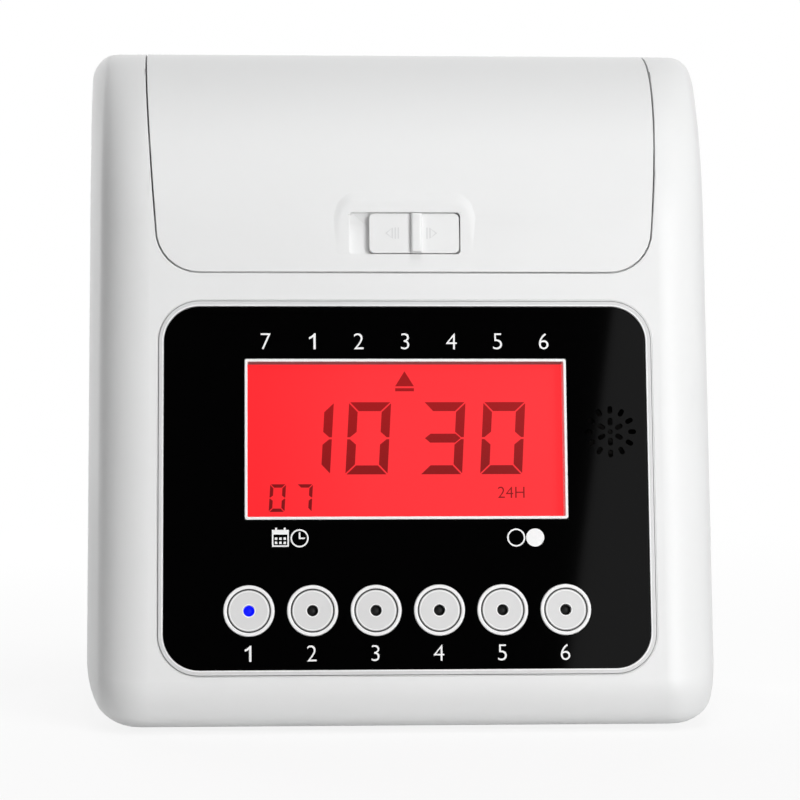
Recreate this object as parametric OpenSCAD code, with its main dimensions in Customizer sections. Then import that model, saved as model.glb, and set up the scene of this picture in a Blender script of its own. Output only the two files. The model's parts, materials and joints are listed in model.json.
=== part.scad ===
// Punch card time clock: a leaning desk or wall case with a ribbon door over the printer,
// a panel with a red display and six keys, and the card path with its feed inside.
// Millimetres. Origin at the bottom centre, +Z up, the front faces -Y.

/* [Case] */
// Overall width
body_w = 213; // [206:1:230]
// Overall height, feet included
body_h = 228; // [222:1:250]
// Overall depth
body_d = 148; // [143:1:170]
// Wall thickness of the case
wall = 2.8; // [2.4:0.1:3.2]
// Backward lean of the front, in degrees
lean = 9; // [7:0.5:11]
// Height of the rubber feet
foot_h = 1.2; // [1:0.1:3]
// Radius of the bottom front edge
nose_r = 14; // [11:0.5:17]
// Height of the round-over at the top
brow_rise = 62; // [55:1:65]
// Depth of the round-over at the top
brow_run = 63; // [57:1:70]
// Radius of the upright front edges
edge_r = 17.5; // [15:0.5:19]
// Distance behind the front at which the case is widest
edge_d = 63; // [54:1:70]
// Thickness of the back cover
cover_t = 3; // [2.4:0.1:4]

/* [Door] */
// Distance at the hinge from the door to the sides of the case
door_side = 19.7; // [19.5:0.1:24.7]
// Narrowing of the door on each side towards its lower corners
door_taper = 5.3; // [2:0.1:9]
// Height of the lower seam above the panel
door_gap = 11.3; // [10:0.1:14]
// Radius of the lower door corners
door_r = 14; // [9:0.5:20]
// Amount by which the door is thinner than the case wall
door_thin = 0.6; // [0.5:0.05:0.9]
// Gap of the door seam
seam = 0.5; // [0.4:0.05:0.8]
// Radius of the hinge barrel
hinge_r = 6; // [5:0.1:7]
// Travel of the latch slider
latch_travel = 6.2; // [4:0.2:8]
// Width of the latch slider
latch_w = 29.7; // [24:0.1:36]
// Height of the latch slider
latch_h = 13.3; // [11:0.1:15]

/* [Panel] */
// Distance from the sides of the case to the black panel
panel_side = 27.5; // [25:0.5:34]
// Height of the black panel
panel_h = 118.8; // [112:0.2:122]
// Height of the panel above the bottom edge of the front
panel_lift = 3.5; // [3:0.1:8]
// Width of the light frame round the panel
bezel_w = 1.6; // [1.2:0.1:2.2]
// Distance from the sides of the panel to the display surround
lcd_side = 26.35; // [25:0.05:32]
// Height of the display surround
lcd_h = 52.7; // [46:0.1:58]
// Height of the display centre above the panel centre
lcd_v = 15.7; // [13:0.1:19]
// Side wall of the display surround
lcd_rim = 0.9; // [0.7:0.1:1.4]
// Depth of the display glass behind the panel face
lcd_sink = 6; // [4:0.5:8]

/* [Keys] */
// Distance between neighbouring keys
key_pitch = 20.52; // [19.4:0.02:23]
// Height of the key row below the panel centre
key_drop = 40.2; // [38:0.1:43]
// Outer radius of a key ring
ring_r = 8.25; // [7.8:0.05:8.8]
// Thickness of a key ring
ring_t = 1.15; // [0.9:0.05:1.5]
// Stroke of a key
key_stroke = 1.2; // [0.8:0.1:1.6]
// Radius of a key lamp
lamp_r = 1.5; // [1.2:0.1:1.9]

/* [Mechanism] */
// Free gap of the card path
chute_gap = 4.6; // [4.2:0.1:5.2]
// Width of the card slot
slot_w = 92; // [86:1:100]
// Width of the throat of the card slot
throat = 5.4; // [5:0.1:6.4]
// Sideways travel of the carriage to each side
carriage_travel = 28; // [22:1:31]
// Radius of the feed rollers
roller_r = 9; // [8:0.1:9.6]
// Radius of the pinch rollers
pinch_r = 7; // [6:0.1:7.6]
// Radius of the guide rods
rod_r = 3; // [2.5:0.1:3.5]
// Running clearance of shafts and rods
run_gap = 0.05; // [0.02:0.01:0.1]
// Clearance between parts that pass each other
pass_gap = 0.3; // [0.3:0.05:0.45]

/* [Hidden] */
$fn = 48;
fine = 96;
eps = 0.02;
far = 400;

half_w = body_w / 2;
back_y = body_d / 2;
cover_y = back_y - cover_t;
keys = 6;

// Outer form: slices along X of one side profile that is set back towards both sides.
edge_turn = 77;
edge_span = 22.8;
edge_draft = edge_span - edge_r * sin(edge_turn);
top_r = 9;
bottom_r = 19;
nose_end = 1.5;
nose_fade = (nose_r - wall - nose_end) / (bottom_r - wall);
run_end = 3.2;
run_fade = (brow_run - wall - run_end) / edge_d;
rise_fade = 1.3;
edge_steps = 8;
draft_steps = 6;
nose_steps = 8;
brow_steps = 24;
nose_z = foot_h + nose_r;
face_y0 = -back_y + nose_r - nose_r / cos(lean);
floor_z = foot_h + wall;
panel_w = body_w - 2 * panel_side;
panel_z = nose_z + nose_r * sin(lean) + panel_h / 2 * cos(lean) + panel_lift;
lcd_w = panel_w - 2 * lcd_side;

// Depth of the leaning front plane at height z
function face_y(z) = face_y0 + (z - nose_z) * tan(lean);

// Drop of a rounded corner of radius r at x, when the wall stands at x_end
function corner_drop(x, x_end, r) = let (u = (x - x_end + r) / r)
    u > 0 ? r - r * sqrt(max(0, 1 - u * u)) : 0;

// Stations of one side: x, set-back of the front, drop of the top, lift of the bottom
edge_x = half_w - edge_span;
function edge_stations(inset) = let (
    x_end = half_w - inset,
    squeeze = (x_end - edge_x) / (half_w - edge_x),
    er = edge_r - inset,
    round = [for (k = [0:edge_steps]) let (t = edge_turn * k / edge_steps)
        [edge_r * sin(t), er * (1 - cos(t))]],
    draft = [for (k = [1:draft_steps]) let (q = 1 - k / draft_steps)
        [half_w - edge_x - edge_draft * q * q, edge_d - (edge_d - round[edge_steps][1]) * q]]
) [for (e = concat(round, draft)) let (x = edge_x + squeeze * e[0])
    [x, e[1], corner_drop(x, x_end, top_r - inset), corner_drop(x, x_end, bottom_r - inset)]];

// Side profile as [y, z] points, from the back bottom over the front to the back top
function profile(inset, back, s = [0, 0, 0, 0]) = let (
    z_low = foot_h + inset + s[3],
    z_top = body_h - inset - s[2],
    nr = nose_r - inset - nose_fade * s[3],
    push = inset / cos(lean) + s[1],
    nz = z_low + nr,
    ny = face_y(nz) + push + nr / cos(lean),
    rise = brow_rise - inset - rise_fade * s[2],
    run = brow_run - inset - run_fade * s[1],
    bz = z_top - rise,
    by = face_y(bz) + push + run
) concat(
    [[back, z_low]],
    [for (k = [0:nose_steps]) let (a = 270 - (90 + lean) * k / nose_steps)
        [ny + nr * cos(a), nz + nr * sin(a)]],
    [for (k = [0:brow_steps]) let (t = 90 * k / brow_steps)
        [by - run * cos(t) + rise * sin(t) * tan(lean), bz + rise * sin(t)]],
    [[back, z_top]]
);

// Right cheek of the case: a lofted wall from the flat middle round to the side, open at the back
module cheek() {
    n = len(profile(0, back_y));
    outer = edge_stations(0);
    inner = edge_stations(wall);
    last = len(outer) - 1;
    lining = (last + 1) * n;
    pts = concat(
        [for (s = outer) for (p = profile(0, back_y, s)) [s[0], p[0], p[1]]],
        [for (s = inner) for (p = profile(wall, back_y, s)) [s[0], p[0], p[1]]]
    );
    skins = [for (k = [0:last - 1]) for (i = [0:n - 2])
        let (a = k * n + i, b = a + n, c = b + 1, d = a + 1, e = lining + a, f = lining + b)
        each [[a, c, b], [a, d, c], [e, f, f + 1], [e, f + 1, e + 1]]];
    front_rim = [for (i = [0:n - 2])
        each [[i, lining + i + 1, i + 1], [i, lining + i, lining + i + 1]]];
    back_rim = [for (k = [0:last - 1]) let (a = k * n, b = a + n, c = a + n - 1, d = b + n - 1)
        each [[a, b, lining + b], [a, lining + b, lining + a],
            [c, lining + d, d], [c, lining + c, lining + d]]];
    side = last * n;
    caps = [
        [for (i = [0:n - 1]) side + i],
        [for (i = [n - 1:-1:0]) lining + side + i],
        [side, side + n - 1, lining + side + n - 1, lining + side]
    ];
    polyhedron(points = pts, faces = concat(skins, front_rim, back_rim, caps), convexity = 6);
}

// Extrusions along the axes, and the frame of the leaning front plane
module along_x(x0, x1) {
    translate([x0, 0, 0]) rotate([90, 0, 90]) linear_extrude(x1 - x0) children();
}

module along_y(y0, y1) {
    translate([0, y1, 0]) rotate([90, 0, 0]) linear_extrude(y1 - y0) children();
}

module rod_x(x0, x1, y, z, r, sides = $fn) {
    translate([x0, y, z]) rotate([0, 90, 0]) cylinder(r = r, h = x1 - x0, $fn = sides);
}

module rod_y(x, y0, y1, z, r) {
    translate([x, y1, z]) rotate([90, 0, 0]) cylinder(r = r, h = y1 - y0);
}

module box(x0, x1, y0, y1, z0, z1) {
    translate([x0, y0, z0]) cube([x1 - x0, y1 - y0, z1 - z0]);
}

module on_panel(u = 0, v = 0, w = 0) {
    translate([0, face_y(panel_z), panel_z]) rotate([90 - lean, 0, 0]) translate([u, v, w]) children();
}

module round_rect(w, h, r) {
    square([w - 2 * r, h], center = true);
    square([w, h - 2 * r], center = true);
    for (sx = [-1, 1]) for (sy = [-1, 1])
        translate([sx * (w / 2 - r), sy * (h / 2 - r)]) circle(r);
}

module slab(w, h, r, t) {
    linear_extrude(t) round_rect(w, h, r);
}

// Door outline seen from the front, grown by g
door_half_top = half_w - door_side;
door_half_low = door_half_top - door_taper;
door_t = wall - door_thin;
door_z = panel_z + panel_h / 2 * cos(lean) + door_gap;
corner_steps = 8;
function door_outline(g) = concat(
    [for (k = [0:corner_steps]) let (a = 180 + 90 * k / corner_steps)
        [-(door_half_low - door_r) + (door_r + g) * cos(a), door_z + door_r + (door_r + g) * sin(a)]],
    [for (k = [0:corner_steps]) let (a = 270 + 90 * k / corner_steps)
        [door_half_low - door_r + (door_r + g) * cos(a), door_z + door_r + (door_r + g) * sin(a)]],
    [[door_half_top + g, body_h], [door_half_top + g, body_h + door_r]],
    [[-door_half_top - g, body_h + door_r], [-door_half_top - g, body_h]]
);

// Card path and hinge
card_back = 29.5;
card_y = back_y - card_back;
chute_front = card_y - chute_gap / 2;
chute_rear = card_y + chute_gap / 2;
guide_t = 1.2;
nip = 0.6;
hinge_ahead = 9;
hinge_y = card_y - hinge_ahead - hinge_r;
hinge_z = body_h - hinge_r;
barrel_wall = 2;
pin_r = 1.5;
pin_in = 8;
pin_end = 1;
pin_web = 2;
ear_t = 2;
ear_half = 5;
ear_gap = 0.8;
ear_lap = 0.3;
ear_x0 = door_half_top + ear_gap;
ear_x1 = ear_x0 + ear_t;

// Ledge behind the door seam
ledge_out = 3;
ledge_in = 2;
ledge_face = door_t + pass_gap;
ledge_t = 2.1;
ledge_stop = 8;

// Mouth of the card slot
mouth_wall = 2;
mouth_lip = 3;
mouth_w = slot_w + 2 * mouth_lip;
mouth_flare = 3;
mouth_top = throat + mouth_flare;
mouth_d = mouth_top + mouth_wall;
mouth_depth = 14;
mouth_taper = 8;
mouth_flange = 1.5;
flange_front = 0.6;
flange_back = 3;
flange_lap = 1;
mouth_sink = 0.2;

// Bosses for the back cover
boss_r = 4.5;
boss_len = 26;
boss_lap = 0.4;
boss_x = half_w - wall - boss_r + boss_lap;
boss_z_low = floor_z + 23;
boss_z_top = body_h - 30;
screw_r = 1.5;
head_r = 3;
head_h = 1.8;
foot_r = 7;
peg_r = 2;
foot_side = 30.5;
foot_ahead = 36;
foot_behind = 16;
foot_x = half_w - foot_side;
foot_front = -back_y + foot_ahead;
foot_rear = back_y - foot_behind;

// Panel stack, measured from the front plane along its outward normal
bezel_gap = 0.5;
bezel_proud = 0.3;
panel_face = -1;
panel_t = 2;
panel_back = panel_face - panel_t;
bezel_back = -5;
bezel_lip = 2.5;
flange_w = 2.4;
panel_r = 11.7;
bezel_r = panel_r + bezel_w;
post_len = 8.5;
board_face = bezel_back - post_len;
board_t = 1.6;
board_r = 2;
board_w = panel_w + 3 * board_r;
board_h = panel_h + 2 * board_r;
post_in = 3.5;
post_u = board_w / 2 - post_in;
post_v = board_h / 2 - post_in;
post_r = 2.6;
window_gap = 0.15;
surround_proud = 0.2;
surround_w = panel_face + surround_proud;
lcd_lip = 1.5;
lcd_r = 0.8;
pane_r = 0.4;
glass_w = panel_face - lcd_sink;
glass_t = 2.2;
light_t = glass_w - glass_t - board_face;

// Speaker and its holes
speaker_off = 1.075;
speaker_edge = 0.6;
speaker_u = panel_w / 2 - lcd_side / 2 + speaker_off;
speaker_v = lcd_v + 2.2;
speaker_r = lcd_side / 2 - speaker_off - speaker_edge;
speaker_h = post_len - 0.4;
cone_h = 3;
cone_t = 0.5;
cone_top = speaker_r - 1;
cone_low = speaker_r - 5;
dome_r = 3;
dome_h = 1.4;
hole_inner = 3.3;
hole_outer = 7.2;
hole_w = 1.6;
hole_len = 2.6;

// Keys
key_u0 = -(keys - 1) / 2 * key_pitch;
ring_proud = 0.6;
ring_flange = 1;
ring_lip = 1;
ring_bore = ring_r - ring_t;
cap_gap = 0.3;
cap_r = ring_bore - cap_gap;
cap_proud = 0.4;
cap_face = panel_face + cap_proud;
cap_lap = 0.8;
cap_flange_r = ring_bore + cap_lap;
cap_rest = 0.8;
cap_flange_w = panel_back - ring_flange - cap_rest;
cap_flange_t = 1.4;
cap_bore = lamp_r + cap_gap;
stem_in = 1.8;
stem_v = stem_in - cap_r;
stem_r = 1.5;
switch_w = 4.4;
switch_h = 3.2;
plunger_r = 1;
plunger_h = 0.8;
plunger_top = board_face + switch_h + plunger_h;
stem_end = plunger_top + key_stroke + cap_gap;
lamp_top = cap_face - key_stroke - cap_gap;

// Latch, in a frame that stands on the door skin at the height of the latch
brow_z = body_h - brow_rise;
function brow_turn(z) = asin(min(1, max(0, (z - brow_z) / brow_rise)));
function skin_y(z) = face_y(z) + brow_run * (1 - cos(brow_turn(z)));
function skin_lean(z) = atan(tan(lean) + brow_run * tan(brow_turn(z)) / brow_rise);
latch_up = 12.8;
latch_z = door_z + latch_up;
latch_lean = skin_lean(latch_z);
pocket_gap = 0.36;
pocket_w = latch_w + latch_travel + 2 * pocket_gap;
pocket_h = latch_h + 2 * pocket_gap;
pocket_r = 1.4;
pocket_depth = 2.6;
pocket_floor = 2.6;
pocket_rim = 2;
pocket_sink = 1;
latch_u = latch_travel / 2;
latch_t = 2.2;
latch_face = -0.1;
rib_w = 3.6;
rib_h = 1.9;
rib_in = 0.2;
rib_off = 0.7;
seat_rim = 2.9;
seat_top = 9.8;
seat_low = 10;
seat_hinge = 3.4;
seat_tilt = 1.5;
seat_t = 1.2;
seat_r = 5;
stem_w = 6;
stem_h = 5;
bolt_w = 18;
bolt_h = 12;
bolt_t = 1.6;
bolt_leg = 4;
bolt_front = -pocket_depth - pocket_floor - pass_gap;
bolt_reach = bolt_w / 2 + latch_travel + pass_gap;
arm_front = bolt_front - bolt_t - pass_gap;

// Keeper that the latch bolt slides behind, on the ledge under the door
keeper_w = 17;
keeper_lap = 0.6;
keeper_foot = 3;
keeper_low = 1;
keeper_in = 1;
keeper_u = -bolt_w / 2 - latch_travel / 2 - 2 * pass_gap;
keeper_v0 = -(latch_up + keeper_low) / cos(latch_lean);
keeper_v1 = bolt_h / 2 - keeper_in;
keeper_back = bolt_front - bolt_t;

// Mechanism frame
print_drop = 58;
print_z = body_h - print_drop;
car_half = 17;
car_gap = 15;
arm_in = carriage_travel + car_half + car_gap;
arm_w = 10;
cas_half = arm_in + arm_w;
tab_w = 3;
plate_in = cas_half + tab_w;
plate_t = 1.5;
plate_out = plate_in + plate_t;
plate_front = cover_y - 91;
plate_low = print_z - 78;
plate_top = print_z + 42;
plate_cut_y = plate_front + 30;
plate_cut_z = print_z + 10;
plate_flange = 12;
guide_top = plate_top - 2;
guide_low = plate_low + 4;
window_low = print_z - 12;
window_top = print_z + 14;
platen_t = 1;
platen_h = 14;
platen_over = 2;
platen_w = slot_w + 2 * platen_over;

// Card feed
feed_z = print_z - 52;
feed_y = card_y - nip / 2 - roller_r;
pinch_y = card_y + nip / 2 + pinch_r;
shaft_r = 3;
pinch_shaft_r = 2.5;
roller_x = 30;
roller_w = 12;
roller_play = 0.6;
roller_clear = 1;
shaft_end = 2;
bush_r = 5;
bush_flange_r = 7;
bush_flange_t = 1;
gear_m = 0.8;
gear_n = 40;
pinion_n = 14;
gear_press = 25;
gear_play = 0.2;
gear_w = 5;
gear_slack = 0.05;
gear_root = 1.25;
gear_flare = 0.6;
gear_x = plate_out + 2;
gear_far = (gear_n + pinion_n) * gear_m / 2 + gear_slack;
gear_angle = 214;
pinion_y = feed_y + gear_far * cos(gear_angle);
pinion_z = feed_z + gear_far * sin(gear_angle);
motor_r = 13.5;
motor_len = 28;
motor_shaft_r = 1.5;
motor_neck_r = 4;

// Carriage, belt and head
rod_end = 1;
rod_z = print_z - 30;
works_depth = 94;
rod_share = 1 / 3;
rod_rear = card_y - 14.5;
rod_front = rod_rear - (body_d - works_depth) * rod_share;
car_front = rod_front - 8;
car_back = rod_rear + 6;
car_low = rod_z - 8;
car_top = print_z - 11.3;
belt_y = rod_front - 22;
belt_z = print_z - 20;
belt_h = 6;
belt_t = 1.4;
belt_side = 16;
belt_x = plate_in - belt_side;
belt_play = 0.1;
pulley_r = 6;
pulley_flange_r = 7.4;
pulley_flange_t = 1;
belt_in = pulley_r + 2 * belt_play;
belt_out = belt_in + belt_t;
clamp_half = car_half / 2;
clamp_front = 3;
clamp_lift = 1;
shelf_t = 1.5;
shelf_z = belt_z - belt_h / 2 - pulley_flange_t - pass_gap - shelf_t;
shelf_front = belt_y - 13;
shelf_back = car_front - 1;
axle_r = 2;
axle_over = 2;
step_r = 12.5;
step_h = 20;
head_half = car_half - 4;
head_front = car_front + 4;
head_back = card_y - 10.5;
head_top = print_z + 14;
nose_half = 4;
nose_h = 10;
ribbon_t = 0.3;
ribbon_h = 13;
ribbon_y = chute_front - ribbon_t;
nose_gap = 0.6;
nose_tip = ribbon_y - nose_gap;
fin_gap = 2;
fin_depth = 4;
fin_first = 3;
fins = 5;

// Ribbon cassette
cas_clear = 3;
bolt_rear = skin_y(latch_z) + bolt_h / 2 * sin(latch_lean) + (bolt_t - arm_front) * cos(latch_lean);
cas_front = bolt_rear + cas_clear;
cas_back = belt_y - 4;
cas_low = print_z - 10;
cas_top = print_z + 12;
arm_short = 0.2;
arm_low = print_z - 7;
arm_top = print_z + 9;
tab_h = 10;
tab_d = 12;
tab_in = 6;
knob_in = 10;
knob_x = arm_in - knob_in;
knob_y = (cas_front + cas_back) / 2;
knob_r = 6.8;
knob_h = 5;
knob_play = 2;
grip_t = 2;
grip_h = 3;
grip_in = 1;

// Boards, inlet and battery behind and below
main_side = 26.5;
main_half = half_w - main_side;
main_low = floor_z + 10;
main_top = main_low + 48;
main_y = cover_y - 14;
main_edge = 5;
main_post_r = 3;
main_post_x = main_half - main_edge - 1;
main_post_low = main_low + main_edge;
main_post_top = main_top - main_edge;
chip_x = -20;
chip_z = main_low + 16;
chip_w = 24;
chip_h = 16;
chip_t = 3;
driver_x = 16;
driver_z = main_low + 26;
driver_w = 14;
driver_h = 12;
driver_t = 2.5;
socket_x = 22;
socket_z = main_low + 8;
socket_w = 24;
socket_h = 8;
can_x = -34;
can_z = main_low + 24;
can_step = 11;
can_r = 4.5;
can_h = 14;
cans = 3;
inlet_x = main_half - 22;
inlet_z = main_low + 12;
inlet_w = 13;
inlet_h = 11;
inlet_bore = 3.2;
inlet_depth = 11;
inlet_pin = 1;
inlet_pin_back = 2;
key_hole_x = 50;
key_hole_z = body_h - 56;
key_hole_r = 4.5;
key_slot_r = 2.3;
key_slot_len = 9;
cell_r = 7;
cell_len = 48;
cell_side = 28.5;
cell_x = cell_side - half_w;
cell_y0 = -6;
cells = 3;
cell_step = 2 * cell_r + 0.4;
tray_t = 1.6;
tray_wall = 1.4;

// Involute gear outline, centred on its axis with a tooth at angle zero
function polar(r, a) = [r * cos(a), r * sin(a)];
function gear_outline(n) = let (
    rp = n * gear_m / 2,
    rb = rp * cos(gear_press),
    ra = rp + gear_m,
    rf = rp - gear_root * gear_m,
    half = 90 / n - gear_play / rp * 90 / PI,
    steps = 4,
    inv = function (r) let (a = acos(min(1, rb / r))) tan(a) * 180 / PI - a,
    flank = [for (k = [0:steps]) let (
        r = max(rf, rb) + (ra - max(rf, rb)) * k / steps) [r, half + inv(rp) - inv(r)]],
    foot = [rf, flank[0][1] + (rf < rb ? 0 : gear_flare)]
) [for (i = [0:n - 1]) let (c = 360 * i / n) each concat(
    [polar(foot[0], c - foot[1])],
    [for (f = flank) polar(f[0], c - f[1])],
    [for (k = [steps:-1:0]) polar(flank[k][0], c + flank[k][1])],
    [polar(foot[0], c + foot[1])]
)];

// Case

module ear(s, margin = 0) {
    x0 = min(s * ear_x0, s * ear_x1) - margin;
    x1 = max(s * ear_x0, s * ear_x1) + margin;
    if (margin > 0) rod_x(x0, x1, hinge_y, hinge_z, pin_r);
    else box(x0, x1, hinge_y - ear_half, hinge_y + ear_half, hinge_z - ear_half, body_h - wall + ear_lap);
}

module keeper() {
    on_latch(u = keeper_u - keeper_w, v = keeper_v0, w = keeper_back) {
        cube([keeper_w, keeper_v1 - keeper_v0, bolt_t]);
        cube([keeper_w, keeper_foot, keeper_lap - ledge_face - ledge_t - keeper_back]);
    }
}

module front_housing() {
    opening = bezel_w + bezel_gap;
    color("white") {
        difference() {
            union() {
                along_x(-edge_x, edge_x) difference() {
                    polygon(profile(0, back_y));
                    polygon(profile(wall, back_y + wall));
                }
                cheek();
                mirror([1, 0, 0]) cheek();
                for (sx = [-1, 1]) {
                    for (z = [boss_z_low, boss_z_top])
                        rod_y(sx * boss_x, cover_y - boss_len, cover_y, z, boss_r);
                    ear(sx);
                }
            }
            along_y(-far, hinge_y) polygon(door_outline(seam));
            rod_x(-door_half_top - seam, door_half_top + seam, hinge_y, hinge_z, hinge_r + seam);
            box(-door_half_top - seam, door_half_top + seam, hinge_y, hinge_y + hinge_r + seam,
                hinge_z, body_h + wall);
            for (sx = [-1, 1]) {
                ear(sx, eps);
                for (z = [boss_z_low, boss_z_top])
                    rod_y(sx * boss_x, cover_y - boss_len + wall, back_y, z, screw_r);
                for (y = [foot_front, foot_rear])
                    translate([sx * foot_x, y, 0]) cylinder(r = peg_r, h = floor_z + eps);
            }
            on_panel(w = -2 * wall)
                slab(panel_w + 2 * opening, panel_h + 2 * opening, bezel_r + bezel_gap, 4 * wall);
            box(-mouth_w / 2 - pass_gap, mouth_w / 2 + pass_gap, card_y - mouth_d / 2 - pass_gap,
                card_y + mouth_d / 2 + pass_gap, body_h - 2 * wall, body_h + wall);
        }
        intersection() {
            along_x(-half_w, half_w) difference() {
                polygon(profile(ledge_face, hinge_y));
                polygon(profile(ledge_face + ledge_t, hinge_y + wall));
            }
            along_y(-far, hinge_y - ledge_stop) difference() {
                polygon(door_outline(ledge_out));
                polygon(door_outline(-ledge_in));
            }
        }
        keeper();
    }
}

module back_outline() {
    cover_half = half_w - wall - pass_gap;
    cover_low = floor_z + pass_gap;
    cover_top = body_h - wall - pass_gap;
    low_r = bottom_r - wall - pass_gap;
    up_r = top_r - wall - pass_gap;
    mid = (cover_low + cover_top) / 2;
    translate([0, (mid + cover_top) / 2 - up_r])
        round_rect(2 * cover_half, cover_top - mid + 2 * up_r, up_r);
    translate([0, (mid + cover_low) / 2 + low_r])
        round_rect(2 * cover_half, mid - cover_low + 2 * low_r, low_r);
}

module back_cover() {
    color("gainsboro") difference() {
        along_y(cover_y, back_y) back_outline();
        for (sx = [-1, 1]) {
            for (z = [boss_z_low, boss_z_top]) {
                rod_y(sx * boss_x, cover_y - eps, back_y + eps, z, screw_r + pass_gap / 2);
                rod_y(sx * boss_x, back_y - head_h - eps, back_y + eps, z, head_r + pass_gap / 2);
            }
            rod_y(sx * key_hole_x, cover_y - eps, back_y + eps, key_hole_z, key_hole_r);
            box(sx * key_hole_x - key_slot_r, sx * key_hole_x + key_slot_r, cover_y - eps, back_y + eps,
                key_hole_z, key_hole_z + key_slot_len);
            rod_y(sx * key_hole_x, cover_y - eps, back_y + eps, key_hole_z + key_slot_len, key_slot_r);
        }
        box(inlet_x - inlet_w / 2 - pass_gap, inlet_x + inlet_w / 2 + pass_gap, cover_y - eps, back_y + eps,
            inlet_z - inlet_h / 2 - pass_gap, inlet_z + inlet_h / 2 + pass_gap);
    }
}

module rubber_feet() {
    color("dimgray") for (sx = [-1, 1]) for (y = [foot_front, foot_rear]) translate([sx * foot_x, y, 0]) {
        cylinder(r = foot_r, h = foot_h);
        cylinder(r = peg_r, h = floor_z);
    }
}

module case_screws() {
    color("silver") for (sx = [-1, 1]) for (z = [boss_z_low, boss_z_top]) {
        rod_y(sx * boss_x, back_y - head_h, back_y, z, head_r);
        rod_y(sx * boss_x, cover_y - boss_len / 2, back_y - head_h, z, screw_r);
    }
}

// Door, hinge and latch

module on_latch(u = 0, v = 0, w = 0) {
    translate([0, skin_y(latch_z), latch_z]) rotate([90 - latch_lean, 0, 0]) translate([u, v, w]) children();
}

module ribbon_door() {
    hollow = door_half_top - pin_in - pin_web;
    slit_w = stem_w + latch_travel + 2 * pass_gap;
    slit_h = stem_h + 2 * pass_gap;
    color("white") difference() {
        union() {
            intersection() {
                along_x(-door_half_top, door_half_top) difference() {
                    polygon(profile(0, hinge_y));
                    polygon(profile(door_t, hinge_y + door_t));
                }
                along_y(-far, hinge_y) polygon(door_outline(0));
            }
            rod_x(-door_half_top, door_half_top, hinge_y, hinge_z, hinge_r, fine);
            on_latch(w = -pocket_depth - pocket_floor)
                slab(pocket_w + 2 * pocket_rim, pocket_h + 2 * pocket_rim, pocket_rim,
                    pocket_depth + pocket_floor - pocket_sink);
            on_latch(v = -seat_hinge) rotate([seat_tilt, 0, 0])
                translate([0, seat_hinge + (seat_top - seat_low) / 2, -seat_t])
                    slab(pocket_w + 2 * seat_rim, seat_top + seat_low, seat_r, seat_t);
        }
        rod_x(-hollow, hollow, hinge_y, hinge_z, hinge_r - barrel_wall);
        for (sx = [-1, 1]) {
            mid = sx * (door_half_top - pin_in / 2);
            rod_x(mid - pin_in / 2 - eps, mid + pin_in / 2 + eps, hinge_y, hinge_z, pin_r + run_gap);
        }
        on_latch(w = -pocket_depth) slab(pocket_w, pocket_h, pocket_r, far);
        on_latch(u = -slit_w / 2, v = -slit_h / 2, w = -far / 2) cube([slit_w, slit_h, far / 2]);
    }
}

module hinge_pins() {
    color("silver") for (sx = [-1, 1]) {
        inner = sx * (door_half_top - pin_in + pin_end);
        outer = sx * ear_x1;
        rod_x(min(inner, outer), max(inner, outer), hinge_y, hinge_z, pin_r);
    }
}

module latch_slider() {
    shank = latch_face - latch_t - bolt_front;
    color("white") on_latch(u = latch_u, w = latch_face - latch_t) {
        slab(latch_w, latch_h, pocket_r - pocket_gap, latch_t);
        translate([rib_off - rib_w / 2, -latch_h / 2 + rib_in, latch_t])
            cube([rib_w, latch_h - 2 * rib_in, rib_h]);
        translate([-stem_w / 2, -stem_h / 2, -shank]) cube([stem_w, stem_h, shank]);
    }
}

module latch_bolt() {
    arm_back = arm_front - bolt_t;
    color("gray") on_latch(u = latch_u, v = -bolt_h / 2) {
        translate([-bolt_w / 2, 0, bolt_front - bolt_t]) cube([bolt_w, bolt_h, bolt_t]);
        translate([-bolt_w / 2, 0, arm_back]) cube([bolt_leg, bolt_h, bolt_front - arm_back]);
        translate([-bolt_reach, 0, arm_back]) cube([bolt_reach - bolt_w / 2 + bolt_leg, bolt_h, bolt_t]);
    }
}

// Panel, display and keys

module panel_bezel() {
    color("lightgray") on_panel(w = bezel_back) {
        difference() {
            union() {
                slab(panel_w + 2 * bezel_w, panel_h + 2 * bezel_w, bezel_r, bezel_proud - bezel_back);
                slab(panel_w + 2 * (bezel_w + flange_w), panel_h + 2 * (bezel_w + flange_w),
                    bezel_r + flange_w, -wall - bezel_back - eps);
            }
            translate([0, 0, panel_back - bezel_back]) slab(panel_w, panel_h, panel_r, far / 2);
            translate([0, 0, -eps])
                slab(panel_w - 2 * bezel_lip, panel_h - 2 * bezel_lip, panel_r - bezel_lip, far / 2);
        }
        for (su = [-1, 1]) for (sv = [-1, 1]) translate([su * post_u, sv * post_v, -post_len])
            cylinder(r = post_r, h = post_len);
    }
}

module speaker_hole(a, r) {
    rotate(a) translate([r, 0]) {
        square([hole_len - hole_w, hole_w], center = true);
        for (s = [-1, 1]) translate([s * (hole_len - hole_w) / 2, 0]) circle(hole_w / 2);
    }
}

module display_panel() {
    color("black") on_panel(w = panel_back) linear_extrude(panel_t) difference() {
        round_rect(panel_w - 2 * window_gap, panel_h - 2 * window_gap, panel_r - window_gap);
        translate([0, lcd_v]) square([lcd_w + 2 * window_gap, lcd_h + 2 * window_gap], center = true);
        for (k = [0:keys - 1]) translate([key_u0 + k * key_pitch, -key_drop]) circle(ring_r + window_gap);
        translate([speaker_u, speaker_v]) {
            circle(hole_w / 2);
            for (k = [0:5]) speaker_hole(30 + 60 * k, hole_inner);
            for (k = [0:11]) speaker_hole(30 * k, hole_outer);
        }
    }
}

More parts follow.
